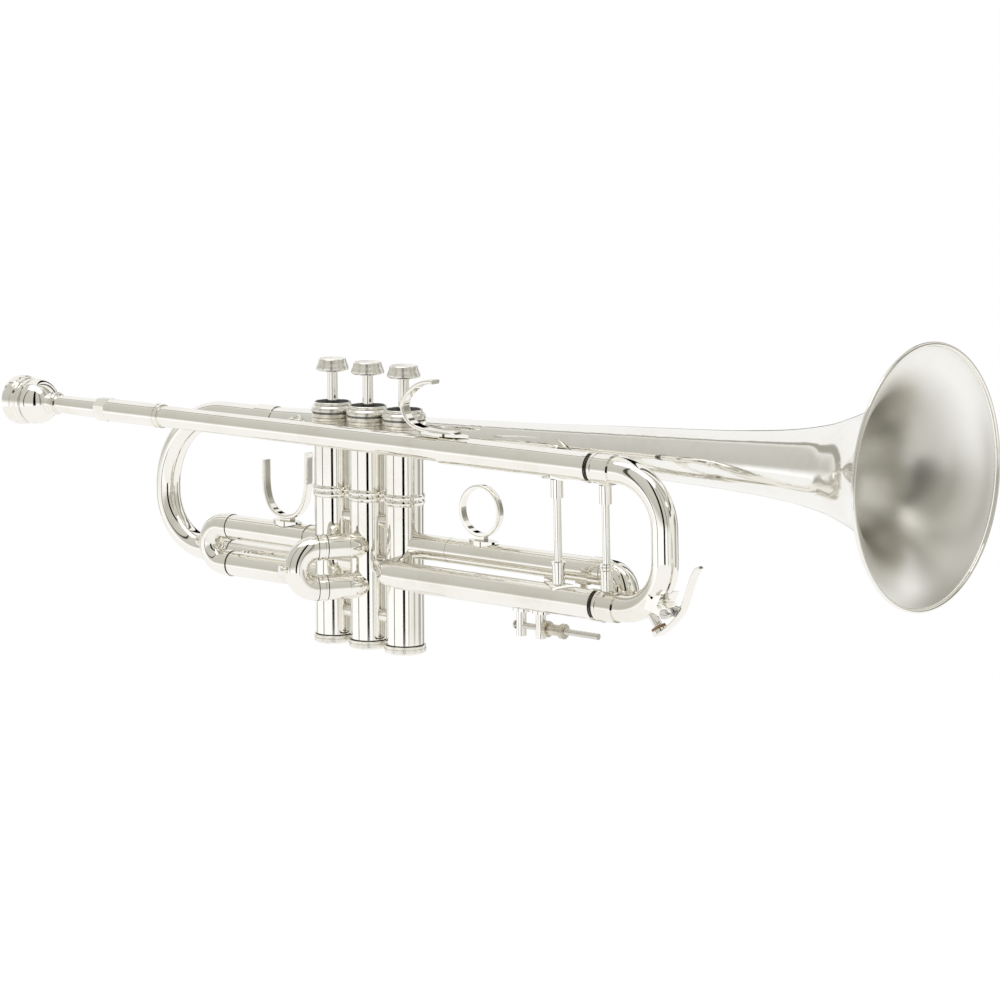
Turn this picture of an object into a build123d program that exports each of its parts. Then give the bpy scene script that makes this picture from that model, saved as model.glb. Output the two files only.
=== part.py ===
"""Piston trumpet in B flat, built from its separate tubes, valves, slides and fittings.

Millimetres. The origin is the centre of the middle valve casing. +X points to the bell,
+Y to the player's left (the bell side) and +Z up, towards the finger buttons.
"""
import math
import os

from build123d import *

# ---- layout: where the tube runs lie -----------------------------------------------------
lead_y, lead_z = -19.1, 46.0        # mouthpiece, leadpipe and upper tuning slide leg
low_y, low_z = -16.8, -19.6         # lower tuning slide leg
bell_y, rim_x, rim_z = 20.8, 315.0, 51.7
bell_tilt = 1.16                    # degrees, the bell rises towards its rim
bow_top_z, bow_low_z = 43.4, -29.0  # the two legs of the bell bow
bell_joint_x = -85.0                # bell stem meets the bell bow
bell_split_x = 205.0                # bell stem meets the flare

# ---- clearances ---------------------------------------------------------------------------
running = 0.03                      # radial gap of sliding tubes, pistons and pins
seat = 0.05                         # radial gap of pieces that are soldered or screwed
gap = 0.3                           # gap between pieces that move past each other

# ---- valves ---------------------------------------------------------------------------------
piston_r = 8.415
stroke = 14.8
casing_wall, cap_spacing = 1.085, 1.64
casing_r = piston_r + running + casing_wall
top_cap_r = casing_r + 1.4
pitch = 2 * top_cap_r + cap_spacing    # valve centre to valve centre
valve_x = [-pitch, 0.0, pitch]
casing_bottom_z, band_z, casing_top_z = -60.9, 15.6, 54.0
band_r, band_h = casing_r + 0.77, 5.6
cross_z = -19.6                     # air way from valve to valve
bore_r = 5.4                        # air way in the valve tubes
passage_r = 4.2                     # air way drilled through a piston
keyway_w, keyway_r = 4.0, piston_r + 0.585       # slot in the casing wall that holds the valve guide
guide_z, guide_h = 22.0, 3.0        # underside and height of the valve guide

top_cap_z, top_cap_h = 46.0, 13.0
felt_r, felt_h = top_cap_r - 2.23, 1.2
cap_wall = 1.3
bottom_cap_r, bottom_cap_z, bottom_cap_top_z = casing_r + 0.96, -62.2, -58.0

stem_r, stem_hole_r = 2.64, 3.1
button_r, button_bottom_z, button_top_z = 8.28, 75.2, 81.9

piston_bottom_z, piston_body_top_z, barrel_top_z = -43.0, 16.0, 55.0
barrel_wall = 1.0
spring_wire_r, spring_coil_r, spring_turns = 0.45, 5.6, 9

# ---- tubes ------------------------------------------------------------------------------------
inner_r, sleeve_wall = 5.9, 0.42    # inner and outer tubes of the three valve slides
sleeve_r = inner_r + running + sleeve_wall
main_inner_r, main_sleeve_wall = 6.33, 0.54
main_sleeve_r = main_inner_r + running + main_sleeve_wall
tube_wall = 0.45
bow_r = main_inner_r + 0.02         # tuning bow
main_sleeve_x0, main_sleeve_x1 = 64.5, 152.6
main_gap_x = 157.4                  # where the moving ferrules of the tuning slide start
main_ferrule_end_x = 166.9
bow_bend_r = 25.5
bow_apex_x = 197.2                  # centre line of the tuning bow at its far end
lower_shift = 1.2                   # the lower leg's ferrule sits this much further out

# ---- first, second and third valve slides ---------------------------------------------------
s1_z, s1_low_z = -11.2, -30.3
s1_sleeve_x, s1_crook_x = -39.6, -93.0
s2_z, s2_low_z = -9.5, -29.7
s2_angle = 58.0                     # degrees from -X towards -Y
s2_start = (-1.9, -12.2)            # where the legs leave their elbows
s2_fixed_len, s2_crook_len = 12.6, 17.4
s3_z, s3_low_z = -7.4, -24.9
s3_sleeve_x, s3_split_x, s3_crook_x = 54.4, 103.4, 150.4

rod_z, rod_r = -39.2, 1.55          # stop rod below the third slide
post_a_x, post_b_x, post_r = 97.7, 109.8, 2.5

# ---- travel of the slides ---------------------------------------------------------------------
tuning_travel, s1_travel, s2_travel, s3_travel = 45.0, 22.0, 8.0, 14.0


def finish(piece, name):
    """Label a finished piece and write its STEP file."""
    piece.part.label = name
    export_step(piece.part, f"parts/{name}.step")


def plane_x(x, y, z):
    """A plane across the X axis, for tubes that run along X."""
    return Plane(origin=(x, y, z), x_dir=(0, 1, 0), z_dir=(1, 0, 0))


def tube_along_x(name, runs, y, z, bore):
    """A turned tube along X: runs are (x0, x1, radius) lengths of its outside."""
    with BuildPart() as tube:
        for x0, x1, r in runs:
            with BuildSketch(plane_x(x0, y, z)):
                Circle(r)
            extrude(amount=x1 - x0)
        ends = [x for run in runs for x in run[:2]]
        with BuildSketch(plane_x(min(ends), y, z)):
            Circle(bore)
        extrude(amount=max(ends) - min(ends), mode=Mode.SUBTRACT)
    tube.part.label = name
    return tube


def revolved(profile, plane, axis):
    """A turned piece: a closed outline revolved about an axis."""
    with BuildPart() as piece:
        with BuildSketch(plane):
            with BuildLine():
                Polyline(*profile, close=True)
            make_face()
        revolve(axis=axis)
    return piece


def stack_at(x):
    """Plane and axis of the valve at x, for outlines drawn as (radius, height)."""
    return Plane(origin=(x, 0, 0), x_dir=(1, 0, 0), z_dir=(0, -1, 0)), Axis((x, 0, 0), (0, 0, 1))


# ================================ valves =======================================================
# Where each valve's air ways leave its casing: direction in degrees and height.
ports = {
    0: [(0, cross_z), (90, bow_low_z), (180, s1_z), (180, s1_low_z)],
    1: [(0, cross_z), (180, cross_z), (270, s2_z), (270, s2_low_z)],
    2: [(270, low_z), (180, cross_z), (0, s3_z), (0, s3_low_z)],
}
# The passages through each piston: port, a point inside, port. Heights are at rest.
up = stroke
passages = {
    0: [((0, cross_z), (1, 1, -25.0), (90, bow_low_z)),
        ((0, cross_z + up), (0, 0, 2.5), (180, s1_z + up)),
        ((90, bow_low_z + up), (-0.5, 1, -15.0), (180, s1_low_z + up))],
    1: [((0, cross_z), (0, 3, -21.5), (180, cross_z)),
        ((0, cross_z + up), (0, 0, 3.0), (270, s2_z + up)),
        ((180, cross_z + up), (0, -1, -9.0), (270, s2_low_z + up))],
    2: [((270, low_z), (-1, -1, -21.0), (180, cross_z)),
        ((270, low_z + up), (1, -1, 3.0), (0, s3_z + up)),
        ((180, cross_z + up), (0, 0.5, -8.5), (0, s3_low_z + up))],
}


def rim_point(x, angle, z, r):
    """The point at radius r from the valve at x, in the direction of angle."""
    return Vector(x + r * math.cos(math.radians(angle)), r * math.sin(math.radians(angle)), z)


def lower_casings():
    """Lower casings, each with the ports of its own valve."""
    with BuildPart() as casings:
        for x in valve_x:
            with BuildSketch(Plane(origin=(x, 0, casing_bottom_z))):
                Circle(casing_r)
                Circle(piston_r + running, mode=Mode.SUBTRACT)
            extrude(amount=band_z - casing_bottom_z)
        for i, x in enumerate(valve_x):
            for angle, z in ports[i]:
                with BuildSketch(Plane(origin=(x, 0, z), z_dir=rim_point(0, angle, 0, 1))):
                    Circle(bore_r)
                extrude(amount=casing_r + 1, mode=Mode.SUBTRACT)
    finish(casings, "valve_casings")


def upper_casings():
    """Upper casings, one over each valve, with a keyway for the guide."""
    with BuildPart() as casings:
        for x in valve_x:
            with BuildSketch(Plane(origin=(x, 0, band_z))):
                Circle(casing_r)
                Circle(piston_r + running, mode=Mode.SUBTRACT)
            extrude(amount=casing_top_z - band_z)
            with BuildSketch(Plane(origin=(x, 0, guide_z - 0.1))):
                Rectangle(2 * keyway_r, keyway_w)
            extrude(amount=casing_top_z - guide_z + 0.2, mode=Mode.SUBTRACT)
    finish(casings, "upper_casings")


def casing_bands():
    """Double beaded bands round the joints of the casings."""
    outline = [(casing_r + seat, band_z - band_h / 2)]
    for k in range(9):
        z = band_z - band_h / 2 + k * band_h / 8
        outline.append((band_r - (0.55 if k in (0, 4, 8) else 0.12 if k in (1, 3, 5, 7) else 0), z))
    outline.append((casing_r + seat, band_z + band_h / 2))
    with BuildPart() as bands:
        for x in valve_x:
            plane, axis = stack_at(x)
            with BuildSketch(plane):
                with BuildLine():
                    Polyline(*outline, close=True)
                make_face()
            revolve(axis=axis)
    finish(bands, "casing_bands")


def top_caps():
    """Screwed top caps with their grooves, open for the stem."""
    top = top_cap_z + top_cap_h
    inside = top - cap_wall
    profile = [(-0.43, 0.0), (-0.33, 4.6), (-0.68, 5.0), (-0.23, 5.3), (-0.18, 6.4), (-0.63, 6.6),
               (-0.13, 6.9), (-0.08, 8.6), (-0.68, 8.8), (-0.68, 9.4), (0.0, 9.8), (0.0, 10.6),
               (-0.33, 11.6), (-1.23, 12.5)]
    outline = [(casing_r + seat, top_cap_z)]
    outline += [(top_cap_r + out, top_cap_z + up) for out, up in profile]
    outline += [(top_cap_r - 2.03, top), (stem_hole_r, top), (stem_hole_r, inside),
                (casing_r + seat, inside)]
    with BuildPart() as caps:
        for x in valve_x:
            plane, axis = stack_at(x)
            with BuildSketch(plane):
                with BuildLine():
                    Polyline(*outline, close=True)
                make_face()
            revolve(axis=axis)
    finish(caps, "top_caps")


def cap_felts():
    """Black felt rings lying on the top caps."""
    with BuildPart() as felts:
        for x in valve_x:
            with BuildSketch(Plane(origin=(x, 0, top_cap_z + top_cap_h))):
                Circle(felt_r)
                Circle(stem_hole_r + 0.3, mode=Mode.SUBTRACT)
            extrude(amount=felt_h)
        fillet(felts.edges().group_by(Axis.Z)[-1].filter_by(GeomType.CIRCLE).sort_by(SortBy.RADIUS)[-3:], 0.4)
    finish(felts, "cap_felts")


def bottom_caps():
    """Screwed bottom caps with a domed, vented underside."""
    z0, z1 = bottom_cap_z, bottom_cap_top_z
    outline = [
        (2.5, z0 + 0.2), (5.5, z0), (bottom_cap_r - 1.29, z0), (bottom_cap_r - 0.59, z0 + 0.4),
        (bottom_cap_r, z0 + 1.0),
        (bottom_cap_r, z0 + 2.4), (bottom_cap_r - 0.39, z0 + 2.6), (bottom_cap_r - 0.1, z0 + 2.9),
        (bottom_cap_r - 0.1, z1 - 0.2), (bottom_cap_r - 0.39, z1), (casing_r + seat, z1),
        (casing_r + seat, z0 + cap_wall), (2.5, z0 + cap_wall),
    ]
    with BuildPart() as caps:
        for x in valve_x:
            plane, axis = stack_at(x)
            with BuildSketch(plane):
                with BuildLine():
                    Polyline(*outline, close=True)
                make_face()
            revolve(axis=axis)
    finish(caps, "bottom_caps")


def piston(i):
    """Piston with its three air passages and the slotted spring barrel on top."""
    x = valve_x[i]
    with BuildPart() as body:
        with BuildSketch(Plane(origin=(x, 0, piston_bottom_z))):
            Circle(piston_r)
        extrude(amount=barrel_top_z - piston_bottom_z)
        with BuildSketch(Plane(origin=(x, 0, piston_body_top_z))):
            Circle(piston_r - barrel_wall)
        extrude(amount=barrel_top_z - cap_wall - piston_body_top_z, mode=Mode.SUBTRACT)
        with BuildSketch(Plane(origin=(x, 0, guide_z - gap))):
            Rectangle(2 * piston_r + 2, keyway_w)
        extrude(amount=guide_h + stroke + 2 * gap, mode=Mode.SUBTRACT)
        with BuildSketch(Plane(origin=(x, 0, piston_bottom_z))):
            Circle(piston_r - 1.5)
        extrude(amount=5.0, mode=Mode.SUBTRACT)
        with BuildSketch(Plane(origin=(x, 0, barrel_top_z))):
            Circle(stem_r - 0.6 + seat)
        extrude(amount=-cap_wall - 1, mode=Mode.SUBTRACT)
        for (a0, z0), via, (a1, z1) in passages[i]:
            middle = Vector(x + via[0], via[1], via[2])
            for angle, z in ((a0, z0), (a1, z1)):
                way = rim_point(x, angle, z, piston_r + 3) - middle
                with BuildSketch(Plane(origin=middle, z_dir=way)):
                    Circle(passage_r)
                extrude(amount=way.length, mode=Mode.SUBTRACT)
            with Locations(middle):
                Sphere(passage_r, mode=Mode.SUBTRACT)
    finish(body, f"piston_{i + 1}")


def stem_and_button(i):
    """Stem with its shoulder, and the dished finger button screwed on it."""
    plane, axis = stack_at(valve_x[i])
    z0, z1 = button_bottom_z, button_top_z
    shoulder = barrel_top_z + 0.8
    stem = revolved(
        [(0, barrel_top_z - cap_wall - 0.6), (stem_r - 0.6, barrel_top_z - cap_wall - 0.6),
         (stem_r - 0.6, barrel_top_z), (5.0, barrel_top_z), (5.0, shoulder), (stem_r, shoulder),
         (stem_r, z0), (1.6, z0), (1.6, z0 + 3.0), (0, z0 + 3.0)], plane, axis)
    finish(stem, f"valve_stem_{i + 1}")
    button = revolved(
        [(1.6 + seat, z0), (3.4, z0), (5.2, z0 + 0.3), (button_r - 0.5, z0 + 0.9),
         (button_r, z0 + 1.4), (button_r, z0 + 2.2), (7.9, z0 + 3.3), (7.3, z0 + 4.6), (6.9, z1 - 0.3),
         (6.6, z1), (6.1, z1), (5.9, z1 - 0.12), (4.2, z1 - 0.25), (0, z1 - 0.4),
         (0, z0 + 3.0 + seat), (1.6 + seat, z0 + 3.0 + seat)], plane, axis)
    finish(button, f"finger_button_{i + 1}")


def valve_guides():
    """Cross bars that stop the pistons turning and carry the springs."""
    with BuildPart() as guides:
        for x in valve_x:
            with BuildSketch(Plane(origin=(x, 0, guide_z))):
                Rectangle(2 * keyway_r - 0.2, keyway_w - 0.2)
                Circle(6.6)
                Circle(3.2, mode=Mode.SUBTRACT)
            extrude(amount=guide_h)
    finish(guides, "valve_guides")


def valve_spring(i):
    """Coil spring between the guide and the roof of the piston's barrel."""
    x = valve_x[i]
    z0 = guide_z + guide_h + spring_wire_r + 0.05
    z1 = barrel_top_z - cap_wall - spring_wire_r - 0.1
    with BuildPart() as spring:
        with BuildLine() as coil:
            Helix(pitch=(z1 - z0) / spring_turns, height=z1 - z0, radius=spring_coil_r, center=(x, 0, z0))
        with BuildSketch(Plane(origin=coil.line @ 0, z_dir=coil.line % 0)):
            Circle(spring_wire_r)
        sweep(path=coil.line, is_frenet=True)
    finish(spring, f"valve_spring_{i + 1}")


def casing_links():
    """Air tubes between the casings, and the plain struts above and below them."""
    with BuildPart() as links:
        for x in valve_x[:2]:
            for r, z in ((5.9, cross_z), (3.5, 3.0), (3.5, -45.2)):
                with BuildSketch(plane_x(x, 0, z)):
                    Circle(r)
                extrude(amount=pitch)
            with BuildSketch(plane_x(x, 0, cross_z)):
                Circle(bore_r)
            extrude(amount=pitch, mode=Mode.SUBTRACT)
        for x in valve_x:
            with BuildSketch(Plane(origin=(x, 0, casing_bottom_z))):
                Circle(casing_r + seat)
            extrude(amount=casing_top_z - casing_bottom_z, mode=Mode.SUBTRACT)
    finish(links, "casing_links")


def cap_corks():
    """Cork rings under the roofs of the top caps, where the rising stems stop."""
    roof = top_cap_z + top_cap_h - cap_wall
    with BuildPart() as corks:
        for x in valve_x:
            with BuildSketch(Plane(origin=(x, 0, roof))):
                Circle(6.0)
                Circle(stem_hole_r, mode=Mode.SUBTRACT)
            extrude(amount=-(roof - barrel_top_z - 0.8 - gap))
    finish(corks, "cap_corks")


# ================================ mouthpiece and leadpipe ======================================
mouth_x = -231.3
shank_end_x = -148.0
receiver_x0, receiver_x1 = -169.0, -126.2
collar_length = 7.8


def mouthpiece():
    """Mouthpiece: rim, cup, throat and tapered shank, turned about its bore."""
    x = mouth_x
    outline = [
        (x + 1.2, 8.2), (x + 0.3, 9.2), (x, 10.3), (x + 0.2, 11.7), (x + 1.2, 12.6), (x + 2.6, 12.9),
        (x + 6.0, 12.9), (x + 6.5, 12.4), (x + 8.0, 12.6), (x + 9.3, 12.3), (x + 9.7, 11.6),
        (x + 12.2, 11.7), (x + 15.2, 11.2), (x + 18.2, 10.0), (x + 21.0, 8.2), (x + 23.6, 6.3),
        (x + 26.0, 5.0), (x + 27.8, 4.4), (x + 28.6, 5.1), (x + 30.0, 5.4), (x + 31.4, 5.2),
        (x + 32.2, 4.5), (x + 46.0, 4.75), (x + 61.0, 4.9), (shank_end_x, 4.55), (shank_end_x, 3.9),
        (x + 40.0, 2.4), (x + 27.0, 1.9),
        (x + 20.0, 1.9), (x + 15.5, 3.4), (x + 11.0, 6.2), (x + 6.0, 7.8),
    ]
    body = revolved(outline, Plane(origin=(0, lead_y, lead_z), x_dir=(1, 0, 0), z_dir=(0, -1, 0)),
                    Axis((0, lead_y, lead_z), (1, 0, 0)))
    finish(body, "mouthpiece")


def receiver():
    """Receiver: faceted collar and plain barrel that hold the mouthpiece shank."""
    x0, x1 = receiver_x0, receiver_x1
    with BuildPart() as body:
        with BuildSketch(plane_x(x0, lead_y, lead_z)):
            RegularPolygon(6.25, 8, rotation=22.5)
        extrude(amount=collar_length)
        with BuildSketch(plane_x(x0 + collar_length, lead_y, lead_z)):
            Circle(5.85)
        extrude(amount=x1 - x0 - collar_length)
        for a, b, r in ((-1.9, 0.1, 6.2), (0.1, 0.9, 5.8), (0.9, 3.0, 6.15)):
            with BuildSketch(plane_x(x1 + a, lead_y, lead_z)):
                Circle(r)
            extrude(amount=b - a)
        with BuildSketch(plane_x(x0, lead_y, lead_z)):
            Circle(4.9 + seat)
        extrude(amount=x1 - x0, mode=Mode.SUBTRACT)
        with BuildSketch(plane_x(x1, lead_y, lead_z)):
            Circle(5.5 + seat)
        extrude(amount=10, mode=Mode.SUBTRACT)
        chamfer(body.edges().group_by(Axis.X)[0], 0.35)
    finish(body, "mouthpiece_receiver")


def leadpipe():
    """Tapered leadpipe from the receiver to the upper leg of the tuning slide."""
    x0, x1 = receiver_x1 + 0.1, main_sleeve_x0 + 6.0
    with BuildPart() as pipe:
        for x, r in ((x0, 5.45), (x1, main_inner_r - 0.25)):
            with BuildSketch(plane_x(x, lead_y, lead_z)):
                Circle(r)
        loft()
        with BuildSketch(plane_x(x0, lead_y, lead_z)):
            Circle(4.85)
        with BuildSketch(plane_x(x1, lead_y, lead_z)):
            Circle(main_inner_r - 0.7)
        loft(mode=Mode.SUBTRACT)
    finish(pipe, "leadpipe")


def pinky_hook():
    """Finger hook bent from strip, with a leaf-shaped foot on the tuning sleeve."""
    y = lead_y
    with BuildPart() as hook:
        with BuildLine() as curve:
            Spline((74, y, lead_z + 7.6), (62, y, lead_z + 8.3), (51, y, lead_z + 9.4),
                   (43, y, lead_z + 13.5), (40.5, y, lead_z + 20), (45, y, lead_z + 27),
                   (54, y, lead_z + 32), (60, y, lead_z + 32.6))
        with BuildSketch(Plane(origin=curve.line @ 0, x_dir=(0, 1, 0), z_dir=curve.line % 0)):
            RectangleRounded(6.0, 2.0, 0.8)
        sweep(path=curve.line)
        with BuildSketch(Plane(origin=(64.5, y, lead_z + main_sleeve_r + seat))):
            with BuildLine():
                ThreePointArc((-16, 0), (0, 4.2), (16, 0))
                ThreePointArc((16, 0), (0, -4.2), (-16, 0))
            make_face()
        extrude(amount=1.4)
        with BuildSketch(plane_x(30, y, lead_z)):
            Circle(main_sleeve_r + seat)
        extrude(amount=80, mode=Mode.SUBTRACT)
    finish(hook, "pinky_hook")


# ================================ tuning slide ==================================================
def tuning_sleeves():
    """Fixed outer tubes of the tuning slide: straight above, bent into the valve below."""
    sleeve_bore = main_inner_r + running
    elbow_r, elbow_tube_r = 7.0, 6.2
    x = valve_x[2]
    with BuildPart() as sleeves:
        for start, end, y, z in ((main_sleeve_x0, main_sleeve_x1, lead_y, lead_z),
                                 (x + elbow_r + 3.0, main_sleeve_x1 + lower_shift, low_y, low_z)):
            for a, b, r in ((start, end, main_sleeve_r), (end, end + 2.6, main_sleeve_r + 0.5)):
                with BuildSketch(plane_x(a, y, z)):
                    Circle(r)
                    Circle(sleeve_bore, mode=Mode.SUBTRACT)
                extrude(amount=b - a)
        with BuildLine() as path:
            Line((x + elbow_r + 6.0, low_y, low_z), (x + elbow_r, low_y, low_z))
            RadiusArc((x + elbow_r, low_y, low_z), (x, low_y + elbow_r, low_z), elbow_r)
            Line((x, low_y + elbow_r, low_z), (x, low_y + elbow_r + 1.8, low_z))
        with BuildSketch(Plane(origin=path.wire() @ 0, z_dir=(-1, 0, 0))):
            Circle(elbow_tube_r)
            Circle(bore_r, mode=Mode.SUBTRACT)
        sweep(path=path.wire(), transition=Transition.ROUND)
        with BuildSketch(Plane(origin=(x, 0, low_z - 10))):
            Circle(casing_r + seat)
        extrude(amount=20, mode=Mode.SUBTRACT)
    finish(sleeves, "tuning_sleeves")


def tuning_point(x, below):
    """A point of the slightly leaning tuning slide, at x and a distance below the leadpipe."""
    drop = Vector(0, low_y - lead_y, low_z - lead_z).normalized()
    return (x, lead_y + drop.Y * below, lead_z + drop.Z * below)


def tuning_slide():
    """Moving half of the tuning slide: bow, two inner tubes, ferrules and their rings."""
    span = math.hypot(low_y - lead_y, low_z - lead_z)
    x0, x1 = main_gap_x + 6.2, bow_apex_x - bow_bend_r
    mid = bow_bend_r * (1 - math.sqrt(0.5))
    with BuildPart() as bow:
        with BuildLine() as path:
            Line(tuning_point(x0, 0), tuning_point(x1, 0))
            ThreePointArc(tuning_point(x1, 0), tuning_point(bow_apex_x - mid, mid),
                          tuning_point(bow_apex_x, bow_bend_r))
            Line(tuning_point(bow_apex_x, bow_bend_r), tuning_point(bow_apex_x, span - bow_bend_r))
            ThreePointArc(tuning_point(bow_apex_x, span - bow_bend_r),
                          tuning_point(bow_apex_x - mid, span - mid), tuning_point(x1, span))
            Line(tuning_point(x1, span), tuning_point(x0 + lower_shift, span))
        with BuildSketch(plane_x(x0, lead_y, lead_z)):
            Circle(bow_r)
            Circle(bow_r - tube_wall, mode=Mode.SUBTRACT)
        sweep(path=path.wire())
    finish(bow, "tuning_bow")
    legs = ((lead_y, lead_z, 0.0), (low_y, low_z, lower_shift))
    with BuildPart() as inners:
        for y, z, shift in legs:
            with BuildSketch(plane_x(main_sleeve_x0 + 6.5 + shift, y, z)):
                Circle(main_inner_r)
                Circle(main_inner_r - tube_wall, mode=Mode.SUBTRACT)
            extrude(amount=main_gap_x - main_sleeve_x0 - 0.5)
    finish(inners, "tuning_inner_tubes")
    with BuildPart() as ferrules:
        for y, z, shift in legs:
            s, e = main_gap_x + shift, main_ferrule_end_x + shift
            for a, b, r in ((s, s + 1.6, main_sleeve_r + 0.3), (s + 1.6, e, main_sleeve_r + 0.05),
                            (e, e + 1.6, main_sleeve_r + 0.3)):
                with BuildSketch(plane_x(a, y, z)):
                    Circle(r)
                    Circle(main_inner_r + seat, mode=Mode.SUBTRACT)
                extrude(amount=b - a)
    finish(ferrules, "tuning_ferrules")


def diamond(plane_origin, z_dir, length, width, r_tube, axis_point, thick=1.0):
    """Diamond foot plate, curved to sit on a tube that runs along X."""
    plane = Plane(origin=plane_origin, x_dir=(1, 0, 0), z_dir=z_dir)
    with BuildPart() as foot:
        with BuildSketch(plane):
            with BuildLine():
                ThreePointArc((-length / 2, 0), (-length / 5, width / 3.2), (0, width / 2))
                ThreePointArc((0, width / 2), (length / 5, width / 3.2), (length / 2, 0))
                ThreePointArc((length / 2, 0), (length / 5, -width / 3.2), (0, -width / 2))
                ThreePointArc((0, -width / 2), (-length / 5, -width / 3.2), (-length / 2, 0))
            make_face()
        extrude(amount=r_tube + 3, both=True)
        with BuildSketch(plane_x(plane_origin[0] - length, axis_point[0], axis_point[1])):
            Circle(r_tube + seat + thick)
            Circle(r_tube + seat, mode=Mode.SUBTRACT)
        extrude(amount=2 * length, mode=Mode.INTERSECT)
        with BuildSketch(Plane(origin=(plane_origin[0], axis_point[0], axis_point[1]), x_dir=(1, 0, 0),
                               z_dir=z_dir)):
            Rectangle(3 * length, 6 * r_tube)
        extrude(amount=-(r_tube + 8), mode=Mode.SUBTRACT)
    return foot


def upright_brace(name, x, r_tube, foot, with_collar):
    """Brace between the legs of the tuning slide: feet, sockets and a slim rod."""
    top = Vector(x, lead_y, lead_z)
    low = Vector(x, low_y, low_z)
    way = (low - top).normalized()
    first = diamond(tuple(top), tuple(way), foot, 10.0, r_tube, (lead_y, lead_z))
    second = diamond(tuple(low), tuple(way * -1), foot, 10.0, r_tube, (low_y, low_z))
    start = top + way * (r_tube + seat + 0.6)
    length = (low - top).length - 2 * (r_tube + seat + 0.6)
    runs = [(0, 9.0, 3.0), (9.0, length - 9.5, 1.85), (length - 9.5, length, 3.0)]
    if with_collar:
        runs += [(length - 11.2, length - 10.4, 3.4), (length - 12.6, length - 11.8, 3.4)]
    else:
        runs += [(length - 10.6, length - 9.5, 3.5)]
    with BuildPart() as brace:
        add(first.part)
        add(second.part)
        for a, b, r in runs:
            with BuildSketch(Plane(origin=start + way * a, z_dir=way)):
                Circle(r)
            extrude(amount=b - a)
        for y, z in ((lead_y, lead_z), (low_y, low_z)):
            with BuildSketch(plane_x(x - 20, y, z)):
                Circle(r_tube + seat)
            extrude(amount=40, mode=Mode.SUBTRACT)
    finish(brace, name)


# ================================ water key =====================================================
key_y = low_y - 0.15
bend_x, bend_z = bow_apex_x - bow_bend_r, low_z + bow_bend_r    # centre of the bow's lower bend
nipple_angle = math.radians(56)
pivot_out, pivot_drop = 16.040581, 2.259542    # hinge pin from the bow under the nipple
pivot_x = bend_x + bow_bend_r * math.cos(nipple_angle) + pivot_out
pivot_z = bend_z - bow_bend_r * math.sin(nipple_angle) - pivot_drop
saddle_outline = [(-8.4, 4.5), (-5.4, 1.3), (-4.0, 4.9), (-2.0, 8.7), (-6.0, 8.0)]
lever_curve = [(-7.4, -11.5), (-1.2, -6.3), (4.6, 0.3), (8.0, 8.5), (10.6, 16.0), (14.2, 22.3)]
pin_r, lug_y0, lug_y1 = 0.9, 4.6, 7.2
nipple_end, cork_h = bow_bend_r + 12.5, 1.5
side_plane = Plane(origin=(0, key_y, 0), x_dir=(1, 0, 0), z_dir=(0, -1, 0))


def from_bend(radius):
    """A point on the line of the water key's nipple, radius away from the bend's centre."""
    return (bend_x + radius * math.cos(nipple_angle), key_y, bend_z - radius * math.sin(nipple_angle))


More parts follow.
